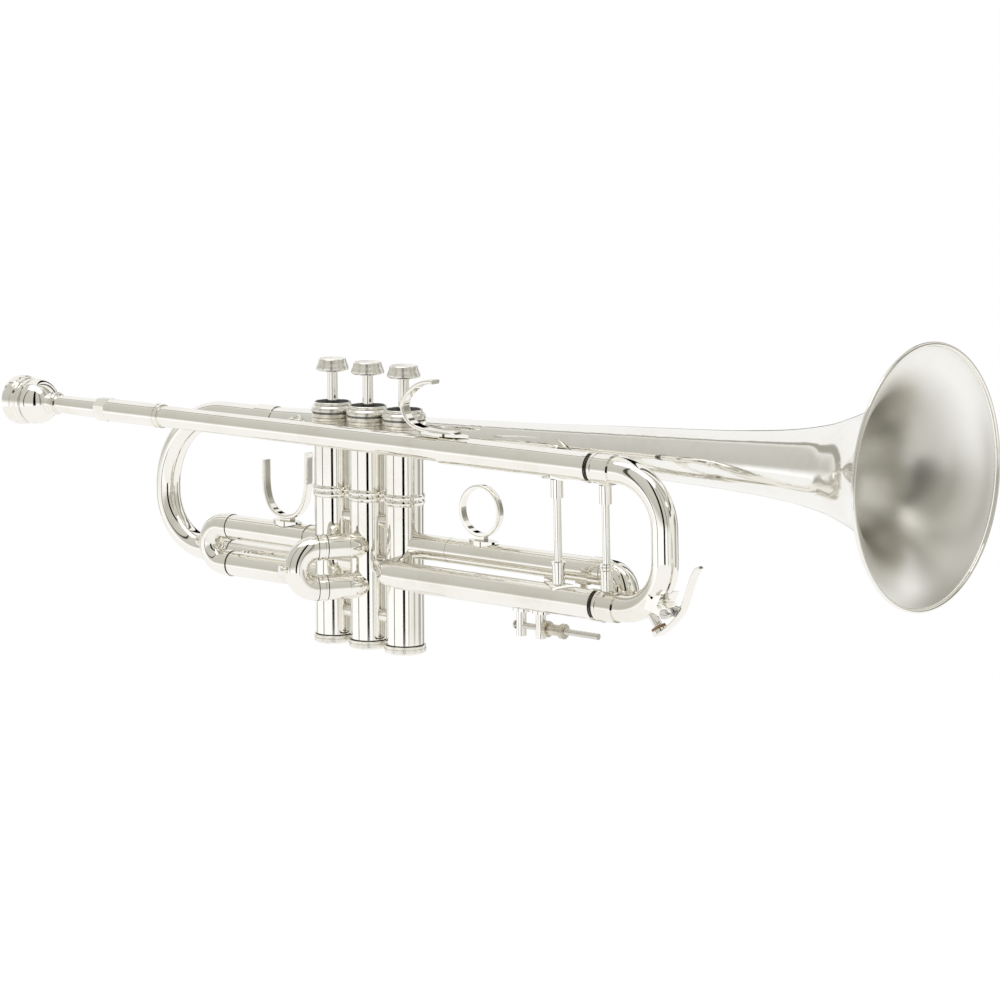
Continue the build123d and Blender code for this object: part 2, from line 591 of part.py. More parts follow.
def water_key():
    """Water key: nipple and saddle on the bow, pin, spring, cork and the curved lever."""
    outward = (math.cos(nipple_angle), 0, -math.sin(nipple_angle))
    span = math.hypot(low_y - lead_y, low_z - lead_z)
    hub = Axis(tuning_point(bend_x, span - bow_bend_r), (0, low_z - lead_z, -(low_y - lead_y)))
    with BuildPart() as bow_space:
        with BuildSketch(plane_x(bend_x, low_y, low_z)):
            Circle(bow_r + seat)
        revolve(axis=hub, revolution_arc=100)
    with BuildPart() as nipple:
        with BuildSketch(Plane(origin=from_bend(bow_bend_r + 4), z_dir=outward)):
            Circle(2.4)
        extrude(amount=nipple_end - bow_bend_r - 4)
        add(bow_space.part, mode=Mode.SUBTRACT)
        with BuildSketch(Plane(origin=from_bend(bow_bend_r + 4), z_dir=outward)):
            Circle(1.3)
        extrude(amount=nipple_end - bow_bend_r, mode=Mode.SUBTRACT)
    with BuildPart() as saddle:
        add(nipple.part)
        for side in (-1, 1):
            with BuildSketch(side_plane.offset(side * (lug_y0 + lug_y1) / 2)):
                with BuildLine():
                    Polyline((pivot_x - 2.2, pivot_z + 0.8), (pivot_x + 0.8, pivot_z + 2.3),
                             (pivot_x + 2.3, pivot_z), (pivot_x + 0.6, pivot_z - 2.4),
                             (pivot_x - 12, pivot_z + 1.2), (pivot_x - 10, pivot_z + 8), close=True)
                make_face()
            extrude(amount=(lug_y1 - lug_y0) / 2, both=True)
        with BuildSketch(side_plane):
            with BuildLine():
                Polyline(*[(pivot_x + dx, pivot_z + dz) for dx, dz in saddle_outline], close=True)
            make_face()
        extrude(amount=lug_y1, both=True)
        with BuildSketch(side_plane):
            with Locations((pivot_x, pivot_z)):
                Circle(pin_r + running)
        extrude(amount=lug_y1 + 1, both=True, mode=Mode.SUBTRACT)
        add(bow_space.part, mode=Mode.SUBTRACT)
    finish(saddle, "water_key_mount")
    with BuildPart() as pin:
        with BuildSketch(side_plane.offset(lug_y1 + 0.1)):
            with Locations((pivot_x, pivot_z)):
                Circle(2.3)
        extrude(amount=1.5)
        fillet(pin.edges().group_by(Axis.Y)[0], 0.5)
        with BuildSketch(side_plane.offset(lug_y1 + 1.6)):
            with Locations((pivot_x, pivot_z)):
                Rectangle(5, 0.6)
        extrude(amount=-0.6, mode=Mode.SUBTRACT)
        with BuildSketch(side_plane.offset(lug_y1 + 0.5)):
            with Locations((pivot_x, pivot_z)):
                Circle(pin_r)
        extrude(amount=-(2 * lug_y1 + 1.6))
    finish(pin, "water_key_pin")
    with BuildPart() as spring:
        for y0 in (2.6, -4.3):
            with BuildLine() as coil:
                Helix(pitch=0.58, height=1.7, radius=1.7, center=(pivot_x, key_y + y0, pivot_z),
                      direction=(0, 1, 0))
            with BuildSketch(Plane(origin=coil.line @ 0, z_dir=coil.line % 0)):
                Circle(0.25)
            sweep(path=coil.line, is_frenet=True)
    finish(spring, "water_key_spring")
    with BuildPart() as cork:
        with BuildSketch(Plane(origin=from_bend(nipple_end + 0.05), z_dir=outward)):
            Circle(3.6)
        extrude(amount=cork_h)
    finish(cork, "water_key_cork")
    with BuildPart() as lever:
        with BuildSketch(Plane(origin=from_bend(nipple_end + 0.05 + cork_h), z_dir=outward)):
            Circle(4.1)
        extrude(amount=1.6)
        with BuildLine() as curve:
            Spline(*[(pivot_x + dx, key_y, pivot_z + dz) for dx, dz in lever_curve])
        with BuildSketch(Plane(origin=curve.line @ 0, x_dir=(0, 1, 0), z_dir=curve.line % 0)):
            RectangleRounded(5.2, 1.5, 0.6)
        sweep(path=curve.line)
        with BuildSketch(side_plane):
            with BuildLine():
                Polyline((pivot_x - 1.6, pivot_z - 1.7), (pivot_x + 1.7, pivot_z + 1.6),
                         (pivot_x + 5.4, pivot_z + 2.0), (pivot_x + 1.0, pivot_z - 4.6), close=True)
            make_face()
            with Locations((pivot_x, pivot_z)):
                Circle(2.3)
        extrude(amount=2.3, both=True)
        with BuildSketch(side_plane):
            with Locations((pivot_x, pivot_z)):
                Circle(pin_r + running + 0.02)
        extrude(amount=4, both=True, mode=Mode.SUBTRACT)
    finish(lever, "water_key_lever")


# ================================ bell ===========================================================
# Outside radius of the bell against the distance behind its rim.
stem_radii = [(400, 6.2), (372, 6.9), (315, 7.45), (290, 7.85), (260, 8.6), (235, 9.25), (210, 10.1),
              (185, 11.1), (161, 11.95), (138, 12.75), (110, 13.9)]
flare_shape = [(110, 13.9), (92, 15.1), (69, 17.5), (58, 19.4), (47, 22.1), (41, 24.3), (34, 27.0),
               (26, 31.0), (19, 35.8), (13, 41.0), (8, 47.0), (4, 53.0), (1.5, 58.2), (1.0, 59.6)]
bell_wall = 0.5
bell_bow_r = stem_radii[0][1] + 0.15    # bell bow and the tube into the first valve
rim_r, rim_bead_r, rim_lap = 61.25, 0.95, 1.65
flare_end_r, throat_r = rim_r - rim_lap, stem_radii[-1][1]
widening = (flare_end_r - throat_r) / (flare_shape[-1][1] - throat_r)
flare_radii = [(d, throat_r + (r - throat_r) * widening) for d, r in flare_shape]
bell_axis = Plane(origin=(rim_x, bell_y, rim_z),
                  x_dir=(-math.cos(math.radians(bell_tilt)), 0, -math.sin(math.radians(bell_tilt))),
                  z_dir=(0, 1, 0))


def bell_section(name, radii, wall):
    """One length of the bell, turned about its axis with an even wall."""
    with BuildPart() as section:
        with BuildSketch(bell_axis):
            with BuildLine():
                outer = Spline(*radii)
                inner = Spline(*[(d, r - wall) for d, r in radii])
                Line(outer @ 0, inner @ 0)
                Line(outer @ 1, inner @ 1)
            make_face()
        revolve(axis=Axis(bell_axis.origin, bell_axis.x_dir))
    finish(section, name)


def bell_point(x):
    """The bell's axis at x."""
    return Vector(x, bell_y, rim_z - (rim_x - x) * math.tan(math.radians(bell_tilt)))


def bell():
    """Bell stem, flare and the rolled bead round the rim."""
    bell_section("bell_stem", stem_radii, bell_wall)
    bell_section("bell_flare", flare_radii, bell_wall)
    with BuildPart() as bead:
        with BuildSketch(bell_axis):
            with Locations((0, rim_r - rim_bead_r)):
                Circle(rim_bead_r)
        revolve(axis=Axis(bell_axis.origin, bell_axis.x_dir))
    finish(bead, "bell_rim_bead")


def bell_bow():
    """Bell bow, its two ferrules and the tube that bends into the first valve."""
    y = bell_y
    upper_r, lower_r, apex_x = 42.0, 28.0, -159.3
    upper_x, lower_x = apex_x + upper_r, apex_x + lower_r
    upper_z, lower_z = bow_top_z - upper_r, bow_low_z + lower_r
    end_x = -118.0
    root = math.sqrt(0.5)
    with BuildPart() as bow:
        with BuildLine() as path:
            Line((bell_joint_x - 0.5, y, bow_top_z), (upper_x, y, bow_top_z))
            ThreePointArc((upper_x, y, bow_top_z), (upper_x - upper_r * root, y, upper_z + upper_r * root),
                          (apex_x, y, upper_z))
            Line((apex_x, y, upper_z), (apex_x, y, lower_z))
            ThreePointArc((apex_x, y, lower_z), (lower_x - lower_r * root, y, lower_z - lower_r * root),
                          (lower_x, y, bow_low_z))
            Line((lower_x, y, bow_low_z), (end_x, y, bow_low_z))
        with BuildSketch(Plane(origin=path.wire() @ 0, z_dir=(-1, 0, 0))):
            Circle(bell_bow_r)
            Circle(bell_bow_r - tube_wall, mode=Mode.SUBTRACT)
        sweep(path=path.wire())
    finish(bow, "bell_bow")
    with BuildPart() as ferrules:
        for x0, x1, z in ((bell_joint_x - 7.5, bell_joint_x + 4.5, bow_top_z + 0.1),
                          (end_x - 6.0, end_x + 6.0, bow_low_z)):
            with BuildSketch(plane_x(x0, y, z)):
                Circle(bell_bow_r + 0.75)
                Circle(bell_bow_r + seat + 0.2, mode=Mode.SUBTRACT)
            extrude(amount=x1 - x0)
    finish(ferrules, "bell_bow_ferrules")
    elbow_r = 9.0
    x = valve_x[0]
    with BuildPart() as entry:
        with BuildLine() as path:
            Line((end_x + 0.2, y, bow_low_z), (x - elbow_r, y, bow_low_z))
            RadiusArc((x - elbow_r, y, bow_low_z), (x, y - elbow_r, bow_low_z), elbow_r)
            Line((x, y - elbow_r, bow_low_z), (x, 7.5, bow_low_z))
        with BuildSketch(Plane(origin=path.wire() @ 0, z_dir=(1, 0, 0))):
            Circle(bell_bow_r)
            Circle(bell_bow_r - tube_wall, mode=Mode.SUBTRACT)
        sweep(path=path.wire(), transition=Transition.ROUND)
        with BuildSketch(Plane(origin=(x, 0, bow_low_z - 10))):
            Circle(casing_r + seat)
        extrude(amount=20, mode=Mode.SUBTRACT)
    finish(entry, "bell_valve_tube")


def cross_brace(x, near, far, rod):
    """Brace along Y between the leadpipe side and the bell: a rod with two diamond feet."""
    (y0, z0, r0), (y1, z1, r1) = near, far
    first = diamond((x, y0, z0), (0, 1, 0), 16.0, 9.0, r0, (y0, z0))
    second = diamond((x, y1, z1), (0, -1, 0), 16.0, 9.0, r1, (y1, z1))
    z = (z0 + z1) / 2
    with BuildPart() as brace:
        add(first.part)
        add(second.part)
        for a, b, r in ((y0 + r0, y0 + r0 + 4.0, rod + 0.9), (y0 + r0 + 3.0, y1 - r1 - 3.0, rod),
                        (y1 - r1 - 4.0, y1 - r1, rod + 0.9)):
            with BuildSketch(Plane(origin=(x, a, z), z_dir=(0, 1, 0))):
                Circle(r)
            extrude(amount=b - a)
        for y, zc, r in ((y0, z0, r0), (y1, z1, r1)):
            with BuildSketch(plane_x(x - 20, y, zc)):
                Circle(r + seat)
            extrude(amount=40, mode=Mode.SUBTRACT)
    return brace


def bell_braces():
    """The two braces that hold the bell to the leadpipe and to the tuning sleeve."""
    rear, front = bell_point(-60.0), bell_point(112.0)
    first = cross_brace(-60.0, (lead_y, lead_z, 5.75), (rear.Y, rear.Z, 7.2), 1.9)
    second = cross_brace(112.0, (lead_y, lead_z, main_sleeve_r), (front.Y, front.Z, 10.9), 1.9)
    with BuildPart() as braces:
        add(first.part)
        add(second.part)
    finish(braces, "bell_braces")


def casing_stays():
    """Short posts that tie the outer casings to the leadpipe and to the bell."""
    z = 42.0
    with BuildPart() as stays:
        for x in (valve_x[0], valve_x[2]):
            with BuildSketch(Plane(origin=(x, lead_y, z), z_dir=(0, 1, 0))):
                Circle(2.2)
            extrude(amount=bell_y - lead_y)
        for x in valve_x:
            with BuildSketch(Plane(origin=(x, 0, z - 10))):
                Circle(casing_r + seat)
            extrude(amount=20, mode=Mode.SUBTRACT)
        for x in (valve_x[0], valve_x[2]):
            with BuildSketch(plane_x(x - 8, lead_y, lead_z)):
                Circle(main_inner_r - 0.38)
            extrude(amount=16, mode=Mode.SUBTRACT)
            point = bell_point(x)
            with BuildSketch(plane_x(x - 8, point.Y, point.Z)):
                Circle(8.0 if x > 0 else 7.6)
            extrude(amount=16, mode=Mode.SUBTRACT)
    finish(stays, "casing_stays")


# ================================ valve slides ==================================================
def tube_group(name, tubes, casing_x=None):
    """Tubes along X in the plane of the valves: each a height, a bore and (x0, x1, radius) lengths.
    Fixed ones stop at the wall of the casing at casing_x."""
    with BuildPart() as group:
        for z, bore, runs in tubes:
            for x0, x1, r in runs:
                with BuildSketch(plane_x(x0, 0, z)):
                    Circle(r)
                    Circle(bore, mode=Mode.SUBTRACT)
                extrude(amount=x1 - x0)
        if casing_x is not None:
            with BuildSketch(Plane(origin=(casing_x, 0, casing_bottom_z))):
                Circle(casing_r + seat)
            extrude(amount=casing_top_z - casing_bottom_z, mode=Mode.SUBTRACT)
    finish(group, name)


def knob_on(origin, way):
    """Small turned pull knob on the end of a crook."""
    start = Plane(origin=origin, z_dir=way)
    with BuildPart() as knob:
        for a, b, r in ((0, 1.8, 1.7), (1.8, 3.2, 2.7)):
            with BuildSketch(start.offset(a)):
                Circle(r)
            extrude(amount=b - a)
        fillet(knob.edges().filter_by(GeomType.CIRCLE).sort_by(SortBy.RADIUS)[-2:], 0.4)
    return knob


def u_crook(name, x0, x_bend, z_up, z_low, outer, bore, ring):
    """U-shaped crook in the plane of the valves with its knob and its two end rings."""
    r = (z_up - z_low) / 2
    way = 1 if x_bend > x0 else -1
    mid = (z_up + z_low) / 2
    knob = knob_on((x_bend + way * (r + outer - 0.4), 0, mid), (way, 0, 0))
    with BuildPart() as crook:
        with BuildLine() as path:
            Line((x0, 0, z_up), (x_bend, 0, z_up))
            ThreePointArc((x_bend, 0, z_up), (x_bend + way * r, 0, mid), (x_bend, 0, z_low))
            Line((x_bend, 0, z_low), (x0, 0, z_low))
        with BuildSketch(Plane(origin=(x0, 0, z_up), z_dir=(way, 0, 0))):
            Circle(outer)
            Circle(bore, mode=Mode.SUBTRACT)
        sweep(path=path.wire())
        for z in (z_up, z_low):
            with BuildSketch(Plane(origin=(x0, 0, z), z_dir=(way, 0, 0))):
                Circle(outer + 0.45)
                Circle(outer - 0.1, mode=Mode.SUBTRACT)
            extrude(amount=ring)
        add(knob.part)
    finish(crook, name)


def first_slide():
    """First valve slide: fixed legs, and the moving sleeve, crook and thumb hook."""
    x = valve_x[0]
    slide_bore = inner_r + running
    bore = inner_r - tube_wall
    tube_group("slide1_fixed_tubes", [
        (s1_z, bore, [(s1_sleeve_x + gap, x, sleeve_r), (s1_crook_x + 8, s1_sleeve_x + gap, inner_r)]),
        (s1_low_z, slide_bore, [(s1_crook_x + gap, x, sleeve_r)])], x)
    tube_group("slide1_moving_tubes", [
        (s1_z, slide_bore, [(s1_crook_x, s1_sleeve_x - 8, sleeve_r),
                            (s1_sleeve_x - 8, s1_sleeve_x - 0.8, sleeve_r + 0.25),
                            (s1_sleeve_x - 0.8, s1_sleeve_x, sleeve_r + 0.5)]),
        (s1_low_z, bore, [(s1_crook_x - 4, -46.0, inner_r)])])
    u_crook("slide1_crook", s1_crook_x - gap, -99.0, s1_z, s1_low_z, sleeve_r, inner_r + seat, 4.0)
    top = s1_z + sleeve_r
    with BuildPart() as hook:
        with BuildLine() as curve:
            Spline((-69.3, 0, 26.3), (-69.2, 0, 17.0), (-68.2, 0, 8.5), (-64.0, 0, 1.2),
                   (-55.5, 0, top + 3.1), (-46.4, 0, 1.4), (-41.8, 0, 9.0), (-40.4, 0, 18.0),
                   (-39.8, 0, 32.4))
        with BuildSketch(Plane(origin=curve.line @ 0, x_dir=(0, 1, 0), z_dir=curve.line % 0)):
            RectangleRounded(5.2, 2.0, 0.8)
        sweep(path=curve.line)
        with BuildSketch(Plane(origin=(-55, 0, top - 2))):
            with BuildLine():
                ThreePointArc((-10, 0), (0, 4.6), (10, 0))
                ThreePointArc((10, 0), (0, -4.6), (-10, 0))
            make_face()
        extrude(amount=3.1)
        with BuildSketch(Plane(origin=(-55, 0, top - 1))):
            Rectangle(7, 4)
        extrude(amount=3.6)
        with BuildSketch(plane_x(-80, 0, s1_z)):
            Circle(sleeve_r + 0.25 + seat)
        extrude(amount=60, mode=Mode.SUBTRACT)
    finish(hook, "thumb_hook")


def second_slide():
    """Second valve slide, set back from the player's right: elbows, sleeves and crook."""
    angle = math.radians(s2_angle)
    way = Vector(-math.cos(angle), -math.sin(angle), 0)
    across = Vector(0, 0, 1)
    turn = math.radians(90 - s2_angle)
    bend_r = abs(s2_start[0]) / (1 - math.cos(turn))
    entry_y = s2_start[1] + bend_r * math.sin(turn)
    half = turn / 2
    slide_bore = inner_r + running

    def leg_plane(s, z):
        return Plane(origin=(s2_start[0] + way.X * s, s2_start[1] + way.Y * s, z), x_dir=across, z_dir=way)

    with BuildPart() as elbows:
        for z in (s2_z, s2_low_z):
            with BuildLine() as path:
                Line((0, entry_y + 2.0, z), (0, entry_y, z))
                ThreePointArc((0, entry_y, z),
                              (-bend_r * (1 - math.cos(half)), entry_y - bend_r * math.sin(half), z),
                              (*s2_start, z))
            with BuildSketch(Plane(origin=(0, entry_y + 2.0, z), z_dir=(0, -1, 0))):
                Circle(sleeve_r)
                Circle(bore_r, mode=Mode.SUBTRACT)
            sweep(path=path.wire())
        with BuildSketch(Plane(origin=(0, 0, casing_bottom_z))):
            Circle(casing_r + seat)
        extrude(amount=casing_top_z - casing_bottom_z, mode=Mode.SUBTRACT)
        for z in (s2_z, s2_low_z):
            for a, b, r in ((0.1, 1.4, sleeve_r + 0.3), (1.4, s2_fixed_len, sleeve_r)):
                with BuildSketch(leg_plane(a, z)):
                    Circle(r)
                    Circle(slide_bore, mode=Mode.SUBTRACT)
                extrude(amount=b - a)
    finish(elbows, "slide2_fixed_tubes")
    with BuildPart() as inners:
        for z in (s2_z, s2_low_z):
            with BuildSketch(leg_plane(1.6, z)):
                Circle(inner_r)
                Circle(inner_r - tube_wall, mode=Mode.SUBTRACT)
            extrude(amount=s2_crook_len - 1.7)
    finish(inners, "slide2_inner_tubes")
    r = (s2_z - s2_low_z) / 2
    end = Vector(s2_start[0] + way.X * s2_crook_len, s2_start[1] + way.Y * s2_crook_len, 0)
    apex = end + way * r
    tip = apex + way * (sleeve_r - 0.4)
    knob = knob_on((tip.X, tip.Y, (s2_z + s2_low_z) / 2), tuple(way))
    with BuildPart() as crook:
        with BuildLine() as path:
            ThreePointArc((end.X, end.Y, s2_z), (apex.X, apex.Y, (s2_z + s2_low_z) / 2),
                          (end.X, end.Y, s2_low_z))
        with BuildSketch(leg_plane(s2_crook_len, s2_z)):
            Circle(sleeve_r)
            Circle(inner_r - tube_wall, mode=Mode.SUBTRACT)
        sweep(path=path.line)
        for z in (s2_z, s2_low_z):
            for a, b, radius in ((s2_fixed_len + gap, s2_fixed_len + 1.4, sleeve_r + 0.3),
                                 (s2_fixed_len + 1.4, s2_crook_len - 1.2, sleeve_r),
                                 (s2_crook_len - 1.2, s2_crook_len, sleeve_r + 0.35)):
                with BuildSketch(leg_plane(a, z)):
                    Circle(radius)
                    Circle(inner_r + seat, mode=Mode.SUBTRACT)
                extrude(amount=b - a)
        add(knob.part)
    finish(crook, "slide2_crook")


def third_slide():
    """Third valve slide: fixed legs, moving sleeve and crook, finger ring and braces."""
    x = valve_x[2]
    slide_bore = inner_r + running
    bore = inner_r - tube_wall
    tube_group("slide3_fixed_tubes", [
        (s3_z, bore, [(x, s3_sleeve_x - gap, sleeve_r), (s3_sleeve_x - gap, 134.0, inner_r)]),
        (s3_low_z, slide_bore, [(x, s3_split_x - gap, sleeve_r)])], x)
    tube_group("slide3_moving_tubes", [
        (s3_z, slide_bore, [(s3_sleeve_x, 141.9, sleeve_r)]),
        (s3_low_z, inner_r + seat, [(s3_split_x, 141.9, sleeve_r)]),
        (s3_low_z, bore, [(46.0, 146.2, inner_r)])])
    u_crook("slide3_crook", 142.2, 152.6, s3_z, s3_low_z, sleeve_r, inner_r + seat, 7.0)
    with BuildPart() as ties:
        for tie_x in (117.0, 136.0):
            with BuildSketch(Plane(origin=(tie_x, 0, s3_low_z))):
                Circle(1.8)
            extrude(amount=s3_z - s3_low_z)
            for z, step in ((s3_z - sleeve_r + 0.6, -1), (s3_low_z + sleeve_r - 0.6, 1)):
                with BuildSketch(Plane(origin=(tie_x, 0, z))):
                    Ellipse(5.0, 2.6)
                extrude(amount=step * 1.2)
        for z in (s3_z, s3_low_z):
            with BuildSketch(plane_x(100, 0, z)):
                Circle(sleeve_r + seat)
            extrude(amount=50, mode=Mode.SUBTRACT)
    finish(ties, "slide3_ties")
    ring_x, ring_z, ring_in, ring_out, ring_w = 72.7, 14.4, 11.0, 12.9, 3.9
    top = s3_z + sleeve_r
    with BuildPart() as ring:
        with BuildSketch(Plane(origin=(ring_x, 0, ring_z), z_dir=(0, 1, 0))):
            Circle(ring_out)
        extrude(amount=ring_w / 2, both=True)
        fillet(ring.edges().filter_by(GeomType.CIRCLE), 0.8)
        with BuildSketch(Plane(origin=(ring_x + 1.5, 0, top - 2))):
            with BuildLine():
                ThreePointArc((-9.5, 0), (0, 4.4), (9.5, 0))
                ThreePointArc((9.5, 0), (0, -4.4), (-9.5, 0))
            make_face()
        extrude(amount=3.0)
        with BuildSketch(Plane(origin=(ring_x, 0, top - 1))):
            Rectangle(6, 3.4)
        extrude(amount=ring_z - ring_out - top + 2.2)
        with BuildSketch(Plane(origin=(ring_x, 0, ring_z), z_dir=(0, 1, 0))):
            Circle(ring_in)
        extrude(amount=ring_w, both=True, mode=Mode.SUBTRACT)
        with BuildSketch(plane_x(ring_x - 20, 0, s3_z)):
            Circle(sleeve_r + seat)
        extrude(amount=40, mode=Mode.SUBTRACT)
    finish(ring, "finger_ring")


def stop_rod():
    """Two posts below the third slide, the part-threaded rod and its stop nuts."""
    bottom = s3_low_z - sleeve_r
    for name, x, hole in (("stop_post_fixed", post_a_x, rod_r + seat), ("stop_post_moving", post_b_x, rod_r + 0.3)):
        with BuildPart() as post:
            with BuildSketch(Plane(origin=(x, 0, -44.3))):
                Circle(post_r)
            extrude(amount=44.3 + bottom + 2)
            with BuildSketch(Plane(origin=(x, 0, bottom - 0.9))):
                Ellipse(4.8, 3.4)
            extrude(amount=2.4)
            with BuildSketch(plane_x(x - 10, 0, s3_low_z)):
                Circle(sleeve_r + seat)
            extrude(amount=20, mode=Mode.SUBTRACT)
            with BuildSketch(plane_x(x - 10, 0, rod_z)):
                Circle(hole)
            extrude(amount=20, mode=Mode.SUBTRACT)
        finish(post, name)
    thread_x0, end_x, pitch_x, root_r = 114.0, 145.0, 1.0, 1.35
    outline = [(post_a_x - 3.6, 0), (post_a_x - 3.6, 2.2), (post_a_x - 2.7, 2.2), (post_a_x - 2.7, rod_r),
               (thread_x0, rod_r)]
    count = int((end_x - thread_x0) / pitch_x)
    for k in range(count):
        x = thread_x0 + k * pitch_x
        outline += [(x + 0.5, root_r), (x + 1.0, rod_r)]
    outline += [(end_x, root_r), (end_x, 0)]
    rod = revolved(outline, Plane(origin=(0, 0, rod_z), x_dir=(1, 0, 0), z_dir=(0, -1, 0)), Axis((0, 0, rod_z), (1, 0, 0)))
    finish(rod, "stop_rod")
    with BuildPart() as nuts:
        for a, b, r, teeth in ((112.6, 114.9, 4.0, 24), (115.0, 122.6, 2.7, 14), (122.7, 124.7, 3.75, 24)):
            with BuildSketch(plane_x(a, 0, rod_z)):
                Circle(r)
                with PolarLocations(r + 0.1, teeth):
                    Circle(0.22, mode=Mode.SUBTRACT)
                Circle(rod_r + running, mode=Mode.SUBTRACT)
            extrude(amount=b - a)
    finish(nuts, "stop_nuts")


def main():
    """Build every piece and write its STEP file."""
    os.makedirs("parts", exist_ok=True)
    for i in range(3):
        piston(i)
        stem_and_button(i)
        valve_spring(i)
    lower_casings()
    upper_casings()
    casing_bands()
    top_caps()
    cap_felts()
    cap_corks()
    bottom_caps()
    valve_guides()
    casing_links()
    mouthpiece()
    receiver()
    leadpipe()
    pinky_hook()
    tuning_sleeves()
    tuning_slide()
    upright_brace("body_brace", 134.2, main_sleeve_r, 18.0, False)
    upright_brace("slide_brace", 163.0, main_sleeve_r + 0.05, 5.4, True)
    water_key()
    bell()
    bell_bow()
    bell_braces()
    casing_stays()
    first_slide()
    second_slide()
    third_slide()
    stop_rod()


main()
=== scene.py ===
"""Dresses the silver trumpet: finishes for every piece, fine solder seams, studio floor and camera."""
from __future__ import annotations

import logging
import math
from dataclasses import dataclass
from enum import Enum
from typing import Any, Sequence

import bmesh
import bpy
from mathutils import Matrix, Vector

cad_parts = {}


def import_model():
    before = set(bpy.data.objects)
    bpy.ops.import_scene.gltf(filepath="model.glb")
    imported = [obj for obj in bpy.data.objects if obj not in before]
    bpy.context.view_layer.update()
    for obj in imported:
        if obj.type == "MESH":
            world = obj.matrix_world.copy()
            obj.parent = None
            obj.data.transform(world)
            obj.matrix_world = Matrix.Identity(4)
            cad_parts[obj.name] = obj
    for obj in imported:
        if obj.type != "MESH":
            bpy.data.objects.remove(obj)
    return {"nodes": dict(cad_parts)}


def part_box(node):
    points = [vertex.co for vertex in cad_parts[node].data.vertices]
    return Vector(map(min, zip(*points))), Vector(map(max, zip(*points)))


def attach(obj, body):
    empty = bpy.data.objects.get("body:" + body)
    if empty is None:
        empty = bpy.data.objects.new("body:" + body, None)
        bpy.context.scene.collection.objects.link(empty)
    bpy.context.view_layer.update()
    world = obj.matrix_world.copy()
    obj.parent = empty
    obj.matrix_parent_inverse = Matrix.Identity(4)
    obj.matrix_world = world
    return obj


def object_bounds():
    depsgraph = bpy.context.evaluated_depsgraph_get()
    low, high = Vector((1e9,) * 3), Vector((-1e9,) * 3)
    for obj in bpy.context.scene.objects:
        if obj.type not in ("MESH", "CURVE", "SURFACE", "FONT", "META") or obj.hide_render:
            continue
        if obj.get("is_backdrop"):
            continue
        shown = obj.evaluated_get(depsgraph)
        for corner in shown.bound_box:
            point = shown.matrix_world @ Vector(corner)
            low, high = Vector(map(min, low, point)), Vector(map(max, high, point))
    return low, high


LOG = logging.getLogger("trumpet")
Colour = tuple[float, float, float]
Line = tuple[Colour, Colour, float, float]
MM = 0.001
WHITE = (1.0, 1.0, 1.0)
ALONG = (1.0, 0.0, 0.0)
UPRIGHT = (0.0, 0.0, 1.0)
# outside radius of the second slide's sleeves, and the way its legs point from the casing
SECOND_SLEEVE = 6.35 * MM
SECOND_WAY = (-0.52992, -0.84805, 0.0)


class Slot(Enum):
    """Material slots of the record."""

    PLATE = "silver_plate"
    TURNED = "silver_turned"
    NICKEL = "nickel_silver"
    SPRING = "spring_steel"


class Turning(Enum):
    """Axis that a lathe grain runs round."""

    UPRIGHT = 2
    LENGTHWAYS = 0


# ---------------------------------------------------------------- shader maths
class Sock:
    """A shader socket that can be used in arithmetic."""

    def __init__(self, graph: "Graph", socket: bpy.types.NodeSocket) -> None:
        """Keeps the graph and the output socket."""
        self.graph = graph
        self.socket = socket

    def _math(self, operation: str, *values: Any, clamp: bool = False) -> "Sock":
        """Adds one Math node and returns its output."""
        return self.graph.node("ShaderNodeMath", {"operation": operation, "use_clamp": clamp},
                               dict(enumerate(values)))

    def __add__(self, other: Any) -> "Sock":
        """Sum."""
        return self._math("ADD", self, other)

    __radd__ = __add__

    def __sub__(self, other: Any) -> "Sock":
        """Difference."""
        return self._math("SUBTRACT", self, other)

    def __rsub__(self, other: Any) -> "Sock":
        """Reflected difference."""
        return self._math("SUBTRACT", other, self)

    def __mul__(self, other: Any) -> "Sock":
        """Product."""
        return self._math("MULTIPLY", self, other)

    __rmul__ = __mul__

    def clamp(self) -> "Sock":
        """Value held between 0 and 1."""
        return self._math("MULTIPLY", self, 1.0, clamp=True)

    def absolute(self) -> "Sock":
        """Value without its sign."""
        return self._math("ABSOLUTE", self)

    def atan2(self, other: Any) -> "Sock":
        """Angle whose tangent is this value over the other."""
        return self._math("ARCTAN2", self, other)

    def smooth(self, low: float, high: float) -> "Sock":
        """Smooth step from 0 at low to 1 at high."""
        return self.graph.node("ShaderNodeMapRange", {"interpolation_type": "SMOOTHSTEP"},
                               {"Value": self, "From Min": low, "From Max": high})

    def spread(self, low: float, high: float) -> "Sock":
        """Maps 0..1 to low..high."""
        return self * (high - low) + low


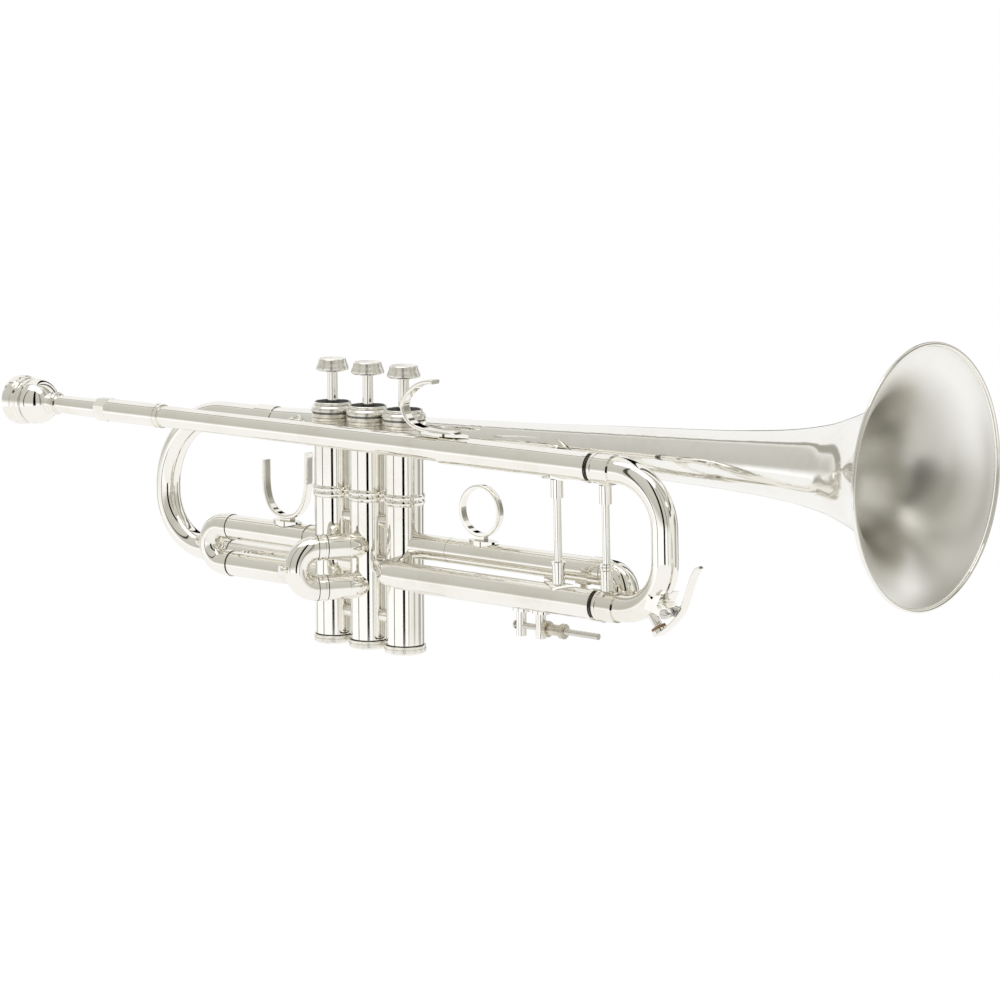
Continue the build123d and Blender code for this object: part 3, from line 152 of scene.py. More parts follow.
class Graph:
    """Node tree of one material or of the world."""

    def __init__(self, tree: bpy.types.NodeTree) -> None:
        """Starts an empty tree."""
        self.tree = tree
        tree.nodes.clear()

    def node(self, kind: str, settings: dict[str, Any] | None = None,
             inputs: dict[Any, Any] | None = None, output: Any = 0) -> Sock:
        """Adds a node.

        Args:
            kind: Blender's node type.
            settings: attributes of the node, set first.
            inputs: socket name or index to a value or a Sock.
            output: name or index of the output to return.

        Returns:
            The chosen output socket.
        """
        made = self.tree.nodes.new(kind)
        for name, value in (settings or {}).items():
            setattr(made, name, value)
        for name, value in (inputs or {}).items():
            if isinstance(value, Sock):
                self.tree.links.new(value.socket, made.inputs[name])
            elif isinstance(value, tuple) and len(value) == 3 and made.inputs[name].type == "RGBA":
                made.inputs[name].default_value = (*value, 1.0)
            else:
                made.inputs[name].default_value = value
        return Sock(self, made.outputs[output]) if made.outputs else Sock(self, None)

    def vector(self, operation: str, inputs: dict[Any, Any], output: Any = 0) -> Sock:
        """Adds one Vector Math node and returns the chosen output."""
        return self.node("ShaderNodeVectorMath", {"operation": operation}, inputs, output)

    def rings(self, along: Sock, pitch: float, detail: float) -> Sock:
        """Noise that changes along one line only, as a lathe leaves it."""
        return self.noise(1.0, detail, self.node("ShaderNodeCombineXYZ", {}, {0: along * pitch}))

    def mix(self, amount: Any, first: Any, second: Any) -> Sock:
        """Colour between first and second."""
        return self.node("ShaderNodeMix", {"data_type": "RGBA"}, {0: amount, 6: first, 7: second}, 2)

    def position(self) -> Sock:
        """Place on the object in metres."""
        return self.node("ShaderNodeTexCoord", output="Object")

    def parts(self, vector: Sock) -> tuple[Sock, Sock, Sock]:
        """The three numbers of a vector."""
        split = self.tree.nodes.new("ShaderNodeSeparateXYZ")
        self.tree.links.new(vector.socket, split.inputs[0])
        return tuple(Sock(self, out) for out in split.outputs)

    def noise(self, scale: float, detail: float = 3.0, where: Sock | None = None,
              roughness: float = 0.5) -> Sock:
        """Noise value between 0 and 1."""
        return self.node("ShaderNodeTexNoise", {}, {"Vector": where or self.position(), "Scale": scale,
                                                    "Detail": detail, "Roughness": roughness})

    def stretched(self, x: float, y: float, z: float) -> Sock:
        """Object position scaled unevenly, for streaks."""
        return self.vector("MULTIPLY", {0: self.position(), 1: (x, y, z)})

    def grazing(self) -> Sock:
        """Rises from 0 to 1 where the surface turns away from the eye; the mask of the painted outline
        shade.
        """
        facing = self.node("ShaderNodeLayerWeight", {}, {"Blend": 0.5}, "Facing")
        return facing.smooth(0.76, 0.97)

    def bump(self, height: Sock, strength: float, distance: float, normal: Sock | None = None) -> Sock:
        """Bumped normal."""
        inputs: dict[Any, Any] = {"Height": height, "Strength": strength, "Distance": distance}
        if normal is not None:
            inputs["Normal"] = normal
        return self.node("ShaderNodeBump", {}, inputs)

    def wear(self, cloud: Sock, spots: Sock) -> Sock:
        """Where plate has tarnished, from a broad and a fine noise."""
        return (cloud * 0.7 + spots * 0.3).smooth(0.46, 0.68)

    def surface(self, **sockets: Any) -> None:
        """Ends the material with one Principled shader; names use _ for spaces."""
        shader = self.node("ShaderNodeBsdfPrincipled", {},
                           {name.replace("_", " "): value for name, value in sockets.items()})
        self.node("ShaderNodeOutputMaterial", {}, {"Surface": shader})


@dataclass(frozen=True)
class Finish:
    """Base of the finishes: a name and a way to make its material once."""

    name: str

    def material(self) -> bpy.types.Material:
        """The finish's material, made the first time it is asked for."""
        found = bpy.data.materials.get(self.name)
        if found is None:
            found = bpy.data.materials.new(self.name)
            found.use_nodes = True
            self.paint(Graph(found.node_tree))
        return found

    def paint(self, graph: Graph) -> None:
        """Fills the node tree."""
        raise NotImplementedError


@dataclass(frozen=True)
class PolishedSilver(Finish):
    """Mirror-polished silver plate with faint polishing haze, hairlines, warm tarnish and painted shade
    along its outlines.
    """

    colour: Colour = (0.93, 0.91, 0.855)
    tarnish: Colour = (0.78, 0.735, 0.64)
    # painted shade along the outlines
    painted_outline_shade: Colour = (0.26, 0.24, 0.19)
    gloss: float = 0.03
    haze: float = 0.06
    tarnish_share: float = 0.35

    def paint(self, graph: Graph) -> None:
        """Fills the node tree."""
        cloud = graph.noise(38.0, 4.0)
        spots = graph.noise(260.0, 5.0, roughness=0.62)
        lines = graph.noise(90.0, 2.0, graph.stretched(1.0, 26.0, 26.0))
        colour = graph.mix(graph.wear(cloud, spots) * self.tarnish_share, self.colour, self.tarnish)
        # painted shade: the colour darkens towards the outlines, where the surface turns away from the eye
        colour = graph.mix(graph.grazing() * 0.8, colour, self.painted_outline_shade)
        rough = cloud.spread(self.gloss, self.gloss + self.haze) + lines.smooth(0.52, 0.75) * 0.03
        bump = graph.bump(lines * 0.4 + spots * 0.6, 0.05, 0.00008)
        graph.surface(Base_Color=colour, Metallic=1.0, Roughness=rough, Normal=bump)


@dataclass(frozen=True)
class BellSilver(Finish):
    """Polished outside and satin, spun inside, with painted shade along the outlines and down the throat;
    the inside is where the face looks at the bell's axis.
    """

    axis_point: Colour = (0.315, 0.0208, 0.0517)
    axis_way: Colour = (0.9998, 0.0, 0.02024)
    colour: Colour = (0.93, 0.92, 0.885)
    inside_colour: Colour = (0.97, 0.96, 0.925)
    # painted shades: the first along the outlines, the second down the throat
    painted_outline_shade: Colour = (0.50, 0.47, 0.40)
    painted_throat_shade: Colour = (0.50, 0.48, 0.42)
    tarnish: Colour = (0.82, 0.785, 0.71)

    def paint(self, graph: Graph) -> None:
        """Fills the node tree."""
        place = graph.position()
        offset = graph.vector("SUBTRACT", {0: place, 1: self.axis_point})
        along = graph.vector("DOT_PRODUCT", {0: offset, 1: self.axis_way}, "Value")
        centre = graph.vector("SCALE", {0: self.axis_way, "Scale": along})
        radial = graph.vector("SUBTRACT", {0: offset, 1: centre})
        normal = graph.node("ShaderNodeNewGeometry", output="Normal")
        facing = graph.vector("DOT_PRODUCT", {0: radial, 1: normal}, "Value")
        inside = 1.0 - facing.smooth(-0.0005, 0.0005)
        reach = graph.vector("LENGTH", {0: radial}, "Value")
        rings = graph.rings(along, 2600.0, 4.0)
        cloud = graph.noise(30.0, 4.0)
        reach = reach + cloud.spread(-0.004, 0.004)
        # painted shade: a band down the bell's throat, where the inside colour is darkened
        throat_shade_mask = reach.smooth(0.020, 0.032) * (1.0 - reach.smooth(0.034, 0.052)) * 0.74
        spots = graph.noise(240.0, 5.0, roughness=0.62)
        outside_colour = graph.mix(graph.wear(cloud, spots) * 0.3, self.colour, self.tarnish)
        # painted shade: the outside colour darkens towards the outlines, where the surface turns away from
        # the eye
        outside_colour = graph.mix(graph.grazing() * 0.6, outside_colour, self.painted_outline_shade)
        inner = graph.mix(throat_shade_mask, graph.mix(cloud.smooth(0.4, 0.7) * 0.2, self.inside_colour, self.tarnish),
                          self.painted_throat_shade)
        colour = graph.mix(inside, outside_colour, inner)
        rough = cloud.spread(0.05, 0.12) * (1.0 - inside) + (rings.spread(0.27, 0.35)) * inside
        bump = graph.bump(rings * inside + spots * 0.3, 0.06, 0.0001)
        graph.surface(Base_Color=colour, Metallic=1.0, Roughness=rough, Normal=bump)


@dataclass(frozen=True)
class TurnedSilver(Finish):
    """Plate over a lathe-turned piece: fine rings and a softer, greyer sheen."""

    turning: Turning = Turning.UPRIGHT
    colour: Colour = (0.95, 0.93, 0.87)
    dark: Colour = (0.66, 0.61, 0.52)
    gloss: float = 0.18
    pitch: float = 5200.0

    def paint(self, graph: Graph) -> None:
        """Fills the node tree."""
        values = graph.parts(graph.position())
        along = values[self.turning.value]
        rings = graph.rings(along, self.pitch, 3.0)
        cloud = graph.noise(70.0, 4.0)
        grime = (graph.noise(420.0, 5.0, roughness=0.65) * 0.5 + cloud * 0.5).smooth(0.47, 0.66)
        colour = graph.mix(grime * 0.45, self.colour, self.dark)
        rough = cloud.spread(self.gloss, self.gloss + 0.12) + rings * 0.06
        bump = graph.bump(rings, 0.10, 0.00006)
        graph.surface(Base_Color=colour, Metallic=1.0, Roughness=rough, Normal=bump)


@dataclass(frozen=True)
class DrawnMetal(Finish):
    """Drawn tube or wire: fine lines along its length and a thin film of oil."""

    colour: Colour = (0.74, 0.72, 0.68)
    film: Colour = (0.60, 0.56, 0.50)
    gloss: float = 0.14
    across: tuple[float, float, float] = (1.0, 30.0, 30.0)

    def paint(self, graph: Graph) -> None:
        """Fills the node tree."""
        lines = graph.noise(120.0, 3.0, graph.stretched(*self.across))
        cloud = graph.noise(60.0, 4.0)
        colour = graph.mix(cloud.smooth(0.42, 0.7) * 0.5, self.colour, self.film)
        rough = lines.spread(self.gloss, self.gloss + 0.14)
        graph.surface(Base_Color=colour, Metallic=1.0, Roughness=rough,
                      Normal=graph.bump(lines, 0.08, 0.00006))


@dataclass(frozen=True)
class Felt(Finish):
    """Pressed wool felt with stray fibres."""

    colour: Colour = (0.010, 0.010, 0.011)
    fibre: Colour = (0.035, 0.034, 0.033)

    def paint(self, graph: Graph) -> None:
        """Fills the node tree."""
        hairs = graph.noise(2600.0, 6.0, roughness=0.7)
        lumps = graph.noise(500.0, 3.0)
        colour = graph.mix(hairs.smooth(0.45, 0.75), self.colour, self.fibre)
        graph.surface(Base_Color=colour, Roughness=lumps.spread(0.85, 1.0), Sheen_Weight=0.1,
                      Normal=graph.bump(hairs * 0.7 + lumps * 0.3, 0.6, 0.0003))


@dataclass(frozen=True)
class Cork(Finish):
    """Natural cork: pale brown with darker grains and pores."""

    colour: Colour = (0.50, 0.33, 0.19)
    grain: Colour = (0.25, 0.14, 0.07)

    def paint(self, graph: Graph) -> None:
        """Fills the node tree."""
        cells = graph.node("ShaderNodeTexVoronoi", {}, {"Vector": graph.position(), "Scale": 1500.0})
        cloud = graph.noise(700.0, 4.0)
        pores = 1.0 - cells.smooth(0.1, 0.55)
        colour = graph.mix((pores * 0.6 + cloud * 0.4).clamp(), self.colour, self.grain)
        graph.surface(Base_Color=colour, Roughness=cloud.spread(0.7, 0.95),
                      Normal=graph.bump(pores * -1.0 + cloud, 0.5, 0.0003))


@dataclass(frozen=True)
class MouldedPlastic(Finish):
    """Off-white moulded plastic with a faint mould texture."""

    colour: Colour = (0.80, 0.78, 0.72)
    shade: Colour = (0.62, 0.59, 0.52)

    def paint(self, graph: Graph) -> None:
        """Fills the node tree."""
        cloud = graph.noise(300.0, 4.0)
        grain = graph.noise(3200.0, 2.0)
        colour = graph.mix(cloud.smooth(0.4, 0.75) * 0.5, self.colour, self.shade)
        graph.surface(Base_Color=colour, Roughness=cloud.spread(0.4, 0.6),
                      Normal=graph.bump(grain, 0.15, 0.0001))


@dataclass(frozen=True)
class OilAndGapShade(Finish):
    """Dark line in the hairline of a joint: painted shade of the gap, together with a film of slide oil and
    dirt.
    """

    colour: Colour = (0.030, 0.026, 0.020)
    dry: Colour = (0.12, 0.10, 0.08)

    def paint(self, graph: Graph) -> None:
        """Fills the node tree."""
        cloud = graph.noise(900.0, 4.0)
        graph.surface(Base_Color=graph.mix(cloud.smooth(0.5, 0.72), self.colour, self.dry), Metallic=0.3,
                      Roughness=cloud.spread(0.3, 0.6), Normal=graph.bump(cloud, 0.3, 0.0001))


PLATE = PolishedSilver("polished_silver")
BELL = BellSilver("bell_silver")
CAPS = TurnedSilver("turned_caps")
LONG_TURNED = TurnedSilver("turned_lengthways", Turning.LENGTHWAYS, (0.74, 0.70, 0.60),
                           (0.46, 0.41, 0.32))
NICKEL = DrawnMetal("nickel_silver_tube")
VALVE_METAL = DrawnMetal("honed_valve_metal", (0.60, 0.58, 0.55), (0.46, 0.43, 0.39), 0.22,
                         (30.0, 30.0, 1.0))
WIRE = DrawnMetal("spring_wire", (0.52, 0.52, 0.53), (0.38, 0.36, 0.34), 0.22)
FELT = Felt("black_wool_felt")
CORK = Cork("natural_cork")
PLASTIC = MouldedPlastic("moulded_guide")
# painted shade of the joints' gaps, together with oil and dirt
OIL_AND_GAP_SHADE = OilAndGapShade("slide_oil_and_gap_shade")


# ---------------------------------------------------------------- mesh helpers
def link_mesh(name: str, mesh: bmesh.types.BMesh, finish: Finish, body: str) -> bpy.types.Object:
    """Turns a bmesh into a smooth piece that rides on a body.

    Args:
        name: name of the piece.
        mesh: its geometry in metres; freed here.
        finish: its finish.
        body: CAD body it moves with.

    Returns:
        The new object.
    """
    data = bpy.data.meshes.new(name)
    bmesh.ops.recalc_face_normals(mesh, faces=mesh.faces)
    mesh.to_mesh(data)
    mesh.free()
    data.shade_smooth()
    piece = bpy.data.objects.new(name, data)
    bpy.context.scene.collection.objects.link(piece)
    data.materials.append(finish.material())
    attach(piece, body)
    LOG.info("piece %s rides on %s", name, body)
    return piece


def add_ring(mesh: bmesh.types.BMesh, centre: Vector, axis: Vector, radius: float,
             profile: Sequence[tuple[float, float]], steps: int = 48) -> None:
    """Adds a closed ring turned about an axis.

    Args:
        mesh: bmesh to add to.
        centre: middle of the ring.
        axis: the ring's axis.
        radius: radius that the profile's second number is added to.
        profile: closed outline of (along the axis, outwards) points.
        steps: number of steps round the axis.
    """
    turn = axis.to_track_quat("Z", "Y").to_matrix()
    rows = []
    for step in range(steps):
        angle = 2 * math.pi * step / steps
        rows.append([mesh.verts.new(centre + turn @ Vector(((radius + out) * math.cos(angle),
                                                            (radius + out) * math.sin(angle), along)))
                     for along, out in profile])
    count = len(profile)
    for step in range(steps):
        here, there = rows[step], rows[(step + 1) % steps]
        for k in range(count):
            mesh.faces.new((here[k], there[k], there[(k + 1) % count], here[(k + 1) % count]))


def add_seam(mesh: bmesh.types.BMesh, centre: Vector, axis: Vector, radius: float,
             half: float = 0.3 * MM) -> None:
    """Adds the thin dark line of painted gap shade and oil that shows where two tubes meet.

    Args:
        mesh: bmesh to add to.
        centre: middle of the line's ring.
        axis: the tube's axis.
        radius: outside radius of the tube.
        half: half of the line's width.
    """
    # painted shade with oil: a dark ring hugging the tube where the gap is
    add_ring(mesh, centre, axis, radius, [(-half, -0.2 * MM), (-half, 0.05 * MM), (half, 0.05 * MM),
                                          (half, -0.2 * MM)], 72)


def middle(node: str) -> Vector:
    """Centre of a CAD node's box."""
    low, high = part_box(node)
    return (Vector(low) + Vector(high)) / 2


def half_span(node: str, way: int) -> float:
    """Half the size of a CAD node's box along an axis."""
    low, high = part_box(node)
    return (high[way] - low[way]) / 2


# ---------------------------------------------------------------- sub-assemblies
@dataclass
class Assembly:
    """A sub-assembly: which finish goes on which CAD node, and its extra meshes."""

    body: str
    finishes: dict[str, Finish]

    def dress(self, nodes: dict[str, bpy.types.Object]) -> None:
        """Gives every CAD node of the sub-assembly its finish.

        Args:
            nodes: the frame's objects by name.
        """
        for name, finish in self.finishes.items():
            data = nodes[name].data
            data.materials.clear()
            data.materials.append(finish.material())
            LOG.info("node %s: %s", name, finish.name)

    def build(self) -> None:
        """Makes the extra meshes; most sub-assemblies have none."""


@dataclass
class ValveBlock(Assembly):
    """Three casings with caps, felts, links, guides and springs."""

    seam_out: float = 0.55 * MM
    seam_half: float = 0.6 * MM
    lip: tuple[tuple[float, float], ...] = (
        (-0.1 * MM, 0.0), (-0.45 * MM, 0.62 * MM), (0.5 * MM, 0.55 * MM), (1.25 * MM, 0.3 * MM),
        (1.3 * MM, 0.0))
    lip_gap: float = 0.2 * MM
    bottom_line: float = 0.25 * MM
    groove_half: float = 0.22 * MM
    grooves: tuple[tuple[float, float], ...] = (
        (8.0 * MM, 10.24 * MM), (6.4 * MM, 10.30 * MM), (3.9 * MM, 10.24 * MM))

    def build(self) -> None:
        """Solder seams below the beaded bands, then the lips of the caps and their dark lines of painted
        shade and oil.
        """
        low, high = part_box("casing_bands")
        across = Vector(high) - Vector(low)
        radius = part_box("valve_casings")[1][1]
        pitch = (across.x - across.y) / 2
        rim_z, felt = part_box("top_caps")[1][2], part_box("cap_felts")[1][1]
        line_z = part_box("bottom_caps")[1][2] + self.bottom_line
        up = Vector(UPRIGHT)
        outline = [(-self.seam_half, -0.1 * MM), (-self.seam_half * 0.4, 0.12 * MM),
                   (0.0, self.seam_out * 0.6), (0.0, -0.1 * MM)]
        seams, lips, lines = bmesh.new(), bmesh.new(), bmesh.new()
        for x in (-pitch, 0.0, pitch):
            add_ring(seams, Vector((x, 0.0, low[2])), up, radius, outline)
            add_ring(lips, Vector((x, 0.0, rim_z)), up, felt + self.lip_gap, self.lip, 72)
            # painted shade with oil: a dark line in the joint above each bottom cap and in the caps'
            # grooves
            add_seam(lines, Vector((x, 0.0, line_z)), up, radius)
            for drop, groove in self.grooves:
                add_seam(lines, Vector((x, 0.0, rim_z - drop)), up, groove, self.groove_half)
        link_mesh("band_solder_seams", seams, PLATE, self.body)
        link_mesh("cap_lips", lips, CAPS, self.body)
        link_mesh("cap_oil_and_gap_shade_lines", lines, OIL_AND_GAP_SHADE, self.body)


@dataclass
class Piston(Assembly):
    """One piston with its stem and button."""


@dataclass
class Mouthpipe(Assembly):
    """Mouthpiece receiver, leadpipe and the little finger's hook."""

    seam: float = 0.35 * MM
    taper: float = 0.6 * MM

    def build(self) -> None:
        """Solder bead where the leadpipe leaves the receiver."""
        end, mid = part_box("mouthpiece_receiver")[1][0], middle("mouthpiece_receiver")
        pipe = half_span("leadpipe", 2) - self.taper
        mesh = bmesh.new()
        add_ring(mesh, Vector((end, mid.y, mid.z)), Vector(ALONG), pipe,
                 [(-0.1 * MM, -0.1 * MM), (self.seam * 2, -0.1 * MM), (self.seam, self.seam * 0.5),
                  (0.0, self.seam)])
        link_mesh("receiver_solder_bead", mesh, PLATE, self.body)


@dataclass
class Mouthpiece(Assembly):
    """Mouthpiece: the full round cup and the bead behind its waist."""

    cup: tuple[tuple[float, float], ...] = (
        (12.3, 11.65), (15.0, 11.9), (18.0, 11.5), (20.5, 10.5), (22.6, 9.0), (24.2, 7.2), (25.2, 5.7),
        (25.7, 4.8), (24.0, 5.4), (21.0, 7.8), (18.2, 9.6), (15.2, 10.8), (12.6, 11.3))
    bead: tuple[tuple[float, float], ...] = (
        (28.2, 4.3), (28.6, 5.5), (29.4, 6.0), (30.6, 6.0), (31.4, 5.6), (31.9, 4.4))

    def build(self) -> None:
        """Turns both shells about the mouthpiece's axis."""
        start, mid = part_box("mouthpiece")[0][0], middle("mouthpiece")
        origin = Vector((start, mid.y, mid.z))
        for name, outline in (("cup_shell", self.cup), ("waist_bead", self.bead)):
            mesh = bmesh.new()
            add_ring(mesh, origin, Vector(ALONG), 0.0, [(x * MM, r * MM) for x, r in outline], 96)
            link_mesh(name, mesh, PLATE, self.body)


@dataclass
class Slide(Assembly):
    """A moving slide, what is soldered to it, and the dark lines of painted gap shade and oil at its
    joints.
    """

    lines: tuple[Line, ...] = ()

    def build(self) -> None:
        """Lines of painted gap shade and oil: each a place, an axis, a radius and half its width."""
        if not self.lines:
            return
        mesh = bmesh.new()
        for place, way, radius, half in self.lines:
            # painted shade with oil: a dark line in each joint's gap
            add_seam(mesh, Vector(place), Vector(way), radius, half)
        link_mesh(f"{self.body}_oil_and_gap_shade_lines", mesh, OIL_AND_GAP_SHADE, self.body)


@dataclass
class ThirdSlide(Slide):
    """Third valve slide with the ridged band on its crook."""

    ridges: int = 5
    pitch: float = 1.1 * MM
    inset: float = 1.8 * MM
    root: float = 0.12 * MM
    crest: float = 0.42 * MM

    def build(self) -> None:
        """Lines of painted gap shade and oil, then the ridged band."""
        super().build()
        low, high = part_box("slide3_crook")
        profile = [(0.0, -0.1 * MM)]
        for ridge in range(self.ridges):
            profile += [(ridge * self.pitch, self.root), ((ridge + 0.35) * self.pitch, self.crest),
                        ((ridge + 0.65) * self.pitch, self.crest)]
        profile += [(self.ridges * self.pitch, self.root), (self.ridges * self.pitch, -0.1 * MM)]
        mesh = bmesh.new()
        add_ring(mesh, Vector((low[0] + self.inset, 0.0, high[2] - half_span("slide3_crook", 1))),
                 Vector(ALONG), half_span("slide3_moving_tubes", 1), profile, 72)
        link_mesh("ridged_band", mesh, NICKEL, self.body)


# ---------------------------------------------------------------- studio
@dataclass
class Studio:
    """Pale floor, one soft light and a plain room for the metal to reflect.

    Each post is a dark upright in the room: its angle and half width in degrees, and its depth.
    """

    floor_drop: float = 0.26
    floor_radius: float = 1.25
    floor_x: float = 0.08
    floor_colour: Colour = (0.93, 0.93, 0.93)
    floor_share: float = 0.9
    floor_glow: float = 1.12
    floor_sheen: float = 1.02
    facing: float = math.radians(39.04)
    wall_level: float = 0.58
    wall_rise: float = 0.06
    ceiling_rise: float = 0.34
    behind_level: float = 0.97
    below_level: float = 1.12
    below_left: float = 0.22
    posts: tuple[tuple[float, float, float], ...] = (
        (-4.0, 8.0, 1.0), (24.0, 4.0, 0.5), (60.0, 6.0, 0.45), (101.0, 13.0, 0.5), (-66.0, 3.0, 0.9),
        (-128.0, 5.0, 0.6), (142.0, 9.0, 0.85), (172.0, 7.0, 1.0))

    def floor(self, low: Vector) -> None:
        """Lays the pale floor below the instrument.

        Args:
            low: lowest corner of the object.
        """
        mesh = bmesh.new()
        bmesh.ops.create_circle(mesh, cap_ends=True, segments=96, radius=self.floor_radius,
                                matrix=Matrix.Translation((self.floor_x, 0.0, low.z - self.floor_drop)))
        data = bpy.data.meshes.new("pale_floor")
        mesh.to_mesh(data)
        mesh.free()
        floor = bpy.data.objects.new("pale_floor", data)
        bpy.context.scene.collection.objects.link(floor)
        paper = bpy.data.materials.new("floor_paper")
        paper.use_nodes = True
        graph = Graph(paper.node_tree)
        path = graph.node("ShaderNodeLightPath", output="Is Camera Ray")
        mirrored = graph.node("ShaderNodeLightPath", output="Is Glossy Ray")
        diffuse = graph.node("ShaderNodeBsdfDiffuse", {}, {"Color": self.floor_colour})
        glow, sheen = (graph.node("ShaderNodeEmission", {}, {"Color": WHITE, "Strength": strength})
                       for strength in (self.floor_glow, self.floor_sheen))
        dim = graph.node("ShaderNodeMixShader", {}, {0: mirrored * self.floor_share, 1: diffuse, 2: sheen})
        mixed = graph.node("ShaderNodeMixShader", {}, {0: path * self.floor_share, 1: dim, 2: glow})
        graph.node("ShaderNodeOutputMaterial", {}, {"Surface": mixed})
        data.materials.append(paper)
        floor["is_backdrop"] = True

    def room(self) -> None:
        """World: white behind the object, and on the camera's side a grey room with a bright ceiling and
        dark posts.
        """
        world = bpy.data.worlds.new("studio_room")
        bpy.context.scene.world = world
        world.use_nodes = True
        graph = Graph(world.node_tree)
        x, y, z = graph.parts(graph.node("ShaderNodeTexCoord", output="Generated"))
        c, s = math.cos(self.facing), math.sin(self.facing)
        turn = (x * c + y * s).atan2(x * s - y * c)

        def angle(value: Sock, low: float, high: float) -> Sock:
            """Smooth step between two angles in degrees."""
            return value.smooth(math.radians(low), math.radians(high))

        posts: Any = 0.0
        for place, half, depth in self.posts:
            gap = (turn - math.radians(place)).absolute()
            posts = (1.0 - angle(gap, half * 0.75, half)) * depth + posts
        above = z.smooth(0.25, 0.45) * angle(turn, 88, 106)
        behind = (angle(turn.absolute(), 112, 128) + above).clamp()
        wall = z.smooth(0.0, 0.80) * self.wall_rise + self.wall_level
        wall = wall + z.smooth(0.82, 0.92) * self.ceiling_rise
        below = 1.0 - z.smooth(-0.22, 0.03)
        wall = wall * (1.0 - below) + below * (self.below_level - angle(turn, 20, 40) * self.below_left)
        level = (wall * (1.0 - behind) + behind * self.behind_level) * (1.0 - posts.clamp())
        # the darker a part of the room is, the warmer it looks
        green, blue = level * (level * 0.03 + 0.97), level * (level * 0.20 + 0.80)
        colour = graph.node("ShaderNodeCombineXYZ", {}, {0: level, 1: green, 2: blue})
        camera = graph.node("ShaderNodeLightPath", output="Is Camera Ray")
        plain = graph.node("ShaderNodeBackground", {}, {"Color": WHITE, "Strength": 1.0})
        lit = graph.node("ShaderNodeBackground", {}, {"Color": colour, "Strength": 1.0})
        mixed = graph.node("ShaderNodeMixShader", {}, {0: camera, 1: lit, 2: plain})
        graph.node("ShaderNodeOutputWorld", {}, {"Surface": mixed})

    def panel(self, name: str, place: Colour, aim: Colour, size: tuple[float, float], power: float) -> None:
        """Adds one soft rectangular light.

        Args:
            name: name of the light.
            place: where it hangs.
            aim: point it looks at.
            size: its two sides in metres.
            power: watts.
        """
        data = bpy.data.lights.new(name, "AREA")
        data.shape = "RECTANGLE"
        data.size, data.size_y = size
        data.energy = power
        lamp = bpy.data.objects.new(name, data)
        bpy.context.scene.collection.objects.link(lamp)
        lamp.location = place
        lamp.rotation_euler = (Vector(aim) - Vector(place)).to_track_quat("-Z", "Y").to_euler()

    def build(self, low: Vector) -> None:
        """Makes the whole studio."""
        self.floor(low)
        self.room()
        self.panel("overhead_panel", (0.1, -0.4, 1.6), (0.05, 0.0, 0.0), (2.2, 0.8), 5.0)


@dataclass
class View:
    """Camera at the fitted place."""

    place: Colour = (1.192199, -1.365835, 0.307995)
    target: Colour = (0.084509, 0.0, 0.020904)
    roll: float = math.radians(-0.1)
    lens: float = 132.24

    def build(self) -> None:
        """Creates the camera and makes it the scene's."""
        data = bpy.data.cameras.new("studio_camera")
        data.lens = self.lens
        data.sensor_width = 36.0
        data.clip_end = 100.0
        back = (Vector(self.place) - Vector(self.target)).normalized()
        right = Vector((0, 0, 1)).cross(back).normalized()
        up = back.cross(right)
        c, s = math.cos(self.roll), math.sin(self.roll)
        across, above = right * c + up * s, up * c - right * s
        camera = bpy.data.objects.new("studio_camera", data)
        bpy.context.scene.collection.objects.link(camera)
        camera.matrix_world = Matrix.Translation(self.place) @ Matrix(
            (across, above, back)).transposed().to_4x4()
        bpy.context.scene.camera = camera
        bpy.context.scene.view_settings.view_transform = "Standard"


def same(finish: Finish, *names: str) -> dict[str, Finish]:
    """One finish for several nodes."""
    return {name: finish for name in names}


def tuning_lines() -> tuple[Line, ...]:
    """Dark lines of painted gap shade and oil between the tuning slide's sleeves and its ferrules, on the
    inner tubes.

    Returns:
        The lines as places, axes, radii and half widths.
    """
    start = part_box("tuning_ferrules")[0][0] - 1.1 * MM
    low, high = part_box("tuning_inner_tubes")
    upper = middle("leadpipe")
    radius, gap, shift = high[2] - upper.z, 1.0 * MM, 1.2 * MM
    lower_y, lower_z = high[1] + low[1] - upper.y, high[2] + low[2] - upper.z
    return (((start, upper.y, upper.z), ALONG, radius, gap),
            ((start + shift, lower_y, lower_z), ALONG, radius, gap))


def slide_lines(tubes: str, crook: str, way: int) -> tuple[Line, ...]:
    """Lines of painted gap shade and oil where a slide's crook meets its two tubes.

    Args:
        tubes: node whose width is the outside of the tubes.
        crook: node of the slide's crook.
        way: 1 where the crook lies towards the bell, -1 where it lies towards the player.

    Returns:
        The lines as places, axes, radii and half widths.
    """
    low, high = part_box(crook)
    ferrule, radius, half = half_span(crook, 1), half_span(tubes, 1), 0.16 * MM
    x = (low[0] if way > 0 else high[0]) - way * 0.15 * MM
    return tuple(((x, 0.0, z), ALONG, radius, half) for z in (high[2] - ferrule, low[2] + ferrule))


def second_slide_lines() -> tuple[Line, ...]:
    """Lines of painted gap shade and oil on both legs of the second slide, at the sleeve's end and where
    the crook bends.

    Returns:
        The lines as places, axes, radii and half widths.
    """
    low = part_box("slide2_fixed_tubes")[0]
    crook_low, crook_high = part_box("slide2_crook")
    way = Vector(SECOND_WAY)
    end = Vector((low[0] - way.y * SECOND_SLEEVE, low[1] - way.x * SECOND_SLEEVE, 0.0))
    lines = []
    for z in (crook_high[2] - SECOND_SLEEVE - 0.3 * MM, crook_low[2] + SECOND_SLEEVE + 0.3 * MM):
        for step in (0.15 * MM, 4.7 * MM):
            place = end + way * step
            lines.append(((place.x, place.y, z), SECOND_WAY, SECOND_SLEEVE, 0.36 * MM))
    return tuple(lines)


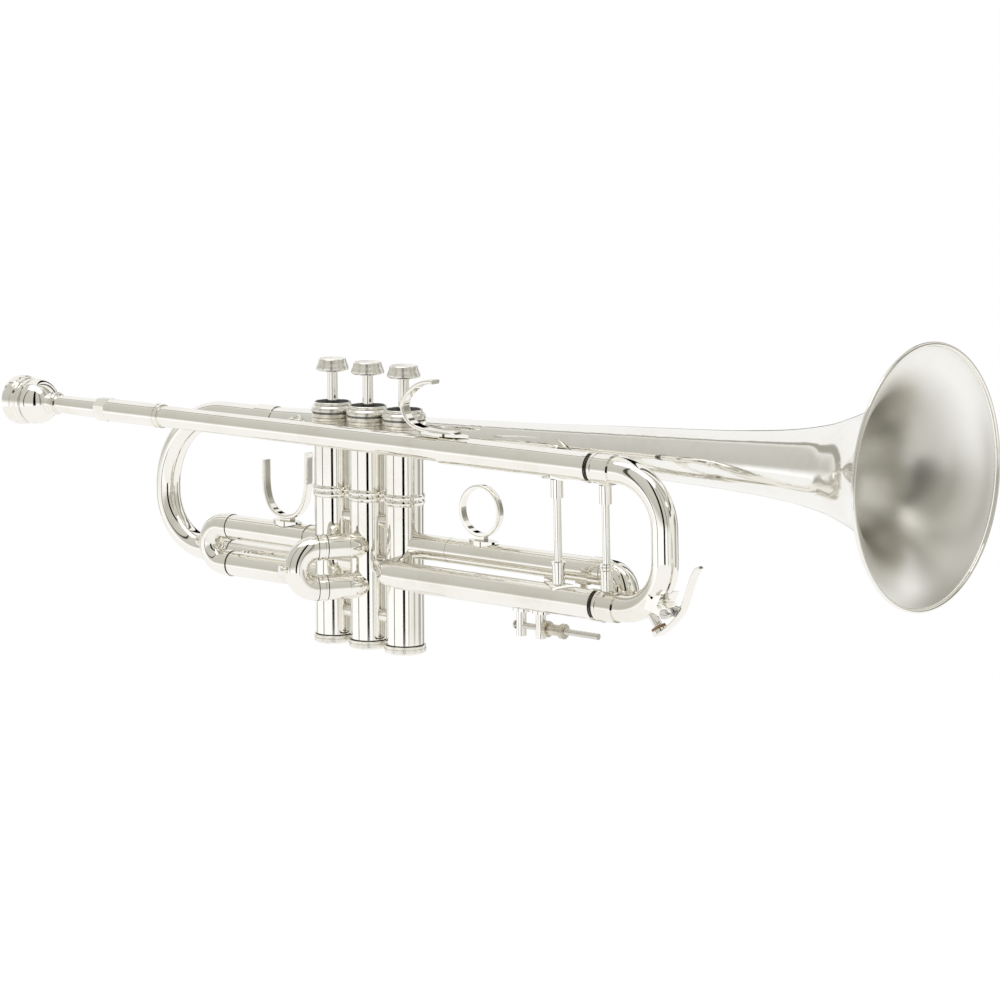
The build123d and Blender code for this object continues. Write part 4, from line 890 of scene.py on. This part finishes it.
def assemblies() -> list[Assembly]:
    """Every sub-assembly in the order of the player's hands.

    Returns:
        The list of sub-assemblies.
    """
    made: list[Assembly] = [ValveBlock("instrument", {
        **same(PLATE, "valve_casings", "upper_casings", "casing_bands", "casing_links", "casing_stays"),
        **same(CAPS, "top_caps", "bottom_caps"), **same(FELT, "cap_felts"), **same(CORK, "cap_corks"),
        **same(PLASTIC, "valve_guides"),
        **same(WIRE, "valve_spring_1", "valve_spring_2", "valve_spring_3")})]
    for number in (1, 2, 3):
        made.append(Piston(f"piston_{number}", {
            f"piston_{number}": VALVE_METAL, f"valve_stem_{number}": PLATE,
            f"finger_button_{number}": CAPS}))
    made.append(Mouthpiece("mouthpiece", same(PLATE, "mouthpiece")))
    made.append(Mouthpipe("instrument", same(PLATE, "mouthpiece_receiver", "leadpipe", "pinky_hook",
                                             "tuning_sleeves", "body_brace")))
    made.append(Slide("tuning_slide", {
        **same(PLATE, "tuning_bow", "tuning_ferrules", "slide_brace", "water_key_mount"),
        **same(NICKEL, "tuning_inner_tubes", "water_key_pin"), **same(WIRE, "water_key_spring")},
        tuning_lines()))
    made.append(Slide("water_key", {"water_key_lever": PLATE, "water_key_cork": CORK}))
    made.append(Assembly("instrument", {
        **same(BELL, "bell_flare", "bell_stem"),
        **same(PLATE, "bell_rim_bead", "bell_bow", "bell_bow_ferrules", "bell_valve_tube", "bell_braces")}))
    made.append(Slide("first_slide", same(PLATE, "slide1_moving_tubes", "slide1_crook", "thumb_hook"),
                      slide_lines("slide3_moving_tubes", "slide1_crook", -1)))
    made.append(Slide("second_slide", {"slide2_inner_tubes": NICKEL, "slide2_crook": PLATE},
                      second_slide_lines()))
    made.append(ThirdSlide("third_slide", same(PLATE, "slide3_moving_tubes", "slide3_crook", "slide3_ties",
                                               "finger_ring", "stop_post_moving"),
                           slide_lines("slide3_moving_tubes", "slide3_crook", 1)))
    made.append(Assembly("instrument", {
        **same(PLATE, "slide1_fixed_tubes", "slide2_fixed_tubes", "slide3_fixed_tubes", "stop_post_fixed"),
        "stop_rod": NICKEL}))
    made.append(Slide("stop_nuts", {"stop_nuts": LONG_TURNED}))
    return made


def main() -> None:
    """Loads the frame, dresses and builds every sub-assembly, and sets the studio."""
    logging.basicConfig(level=logging.INFO, format="%(name)s: %(message)s")
    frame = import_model()
    cad_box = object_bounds()
    for assembly in assemblies():
        assembly.dress(frame["nodes"])
        assembly.build()
    Studio().build(Vector(cad_box[0]))
    View().build()


if __name__ == "__main__":
    main()
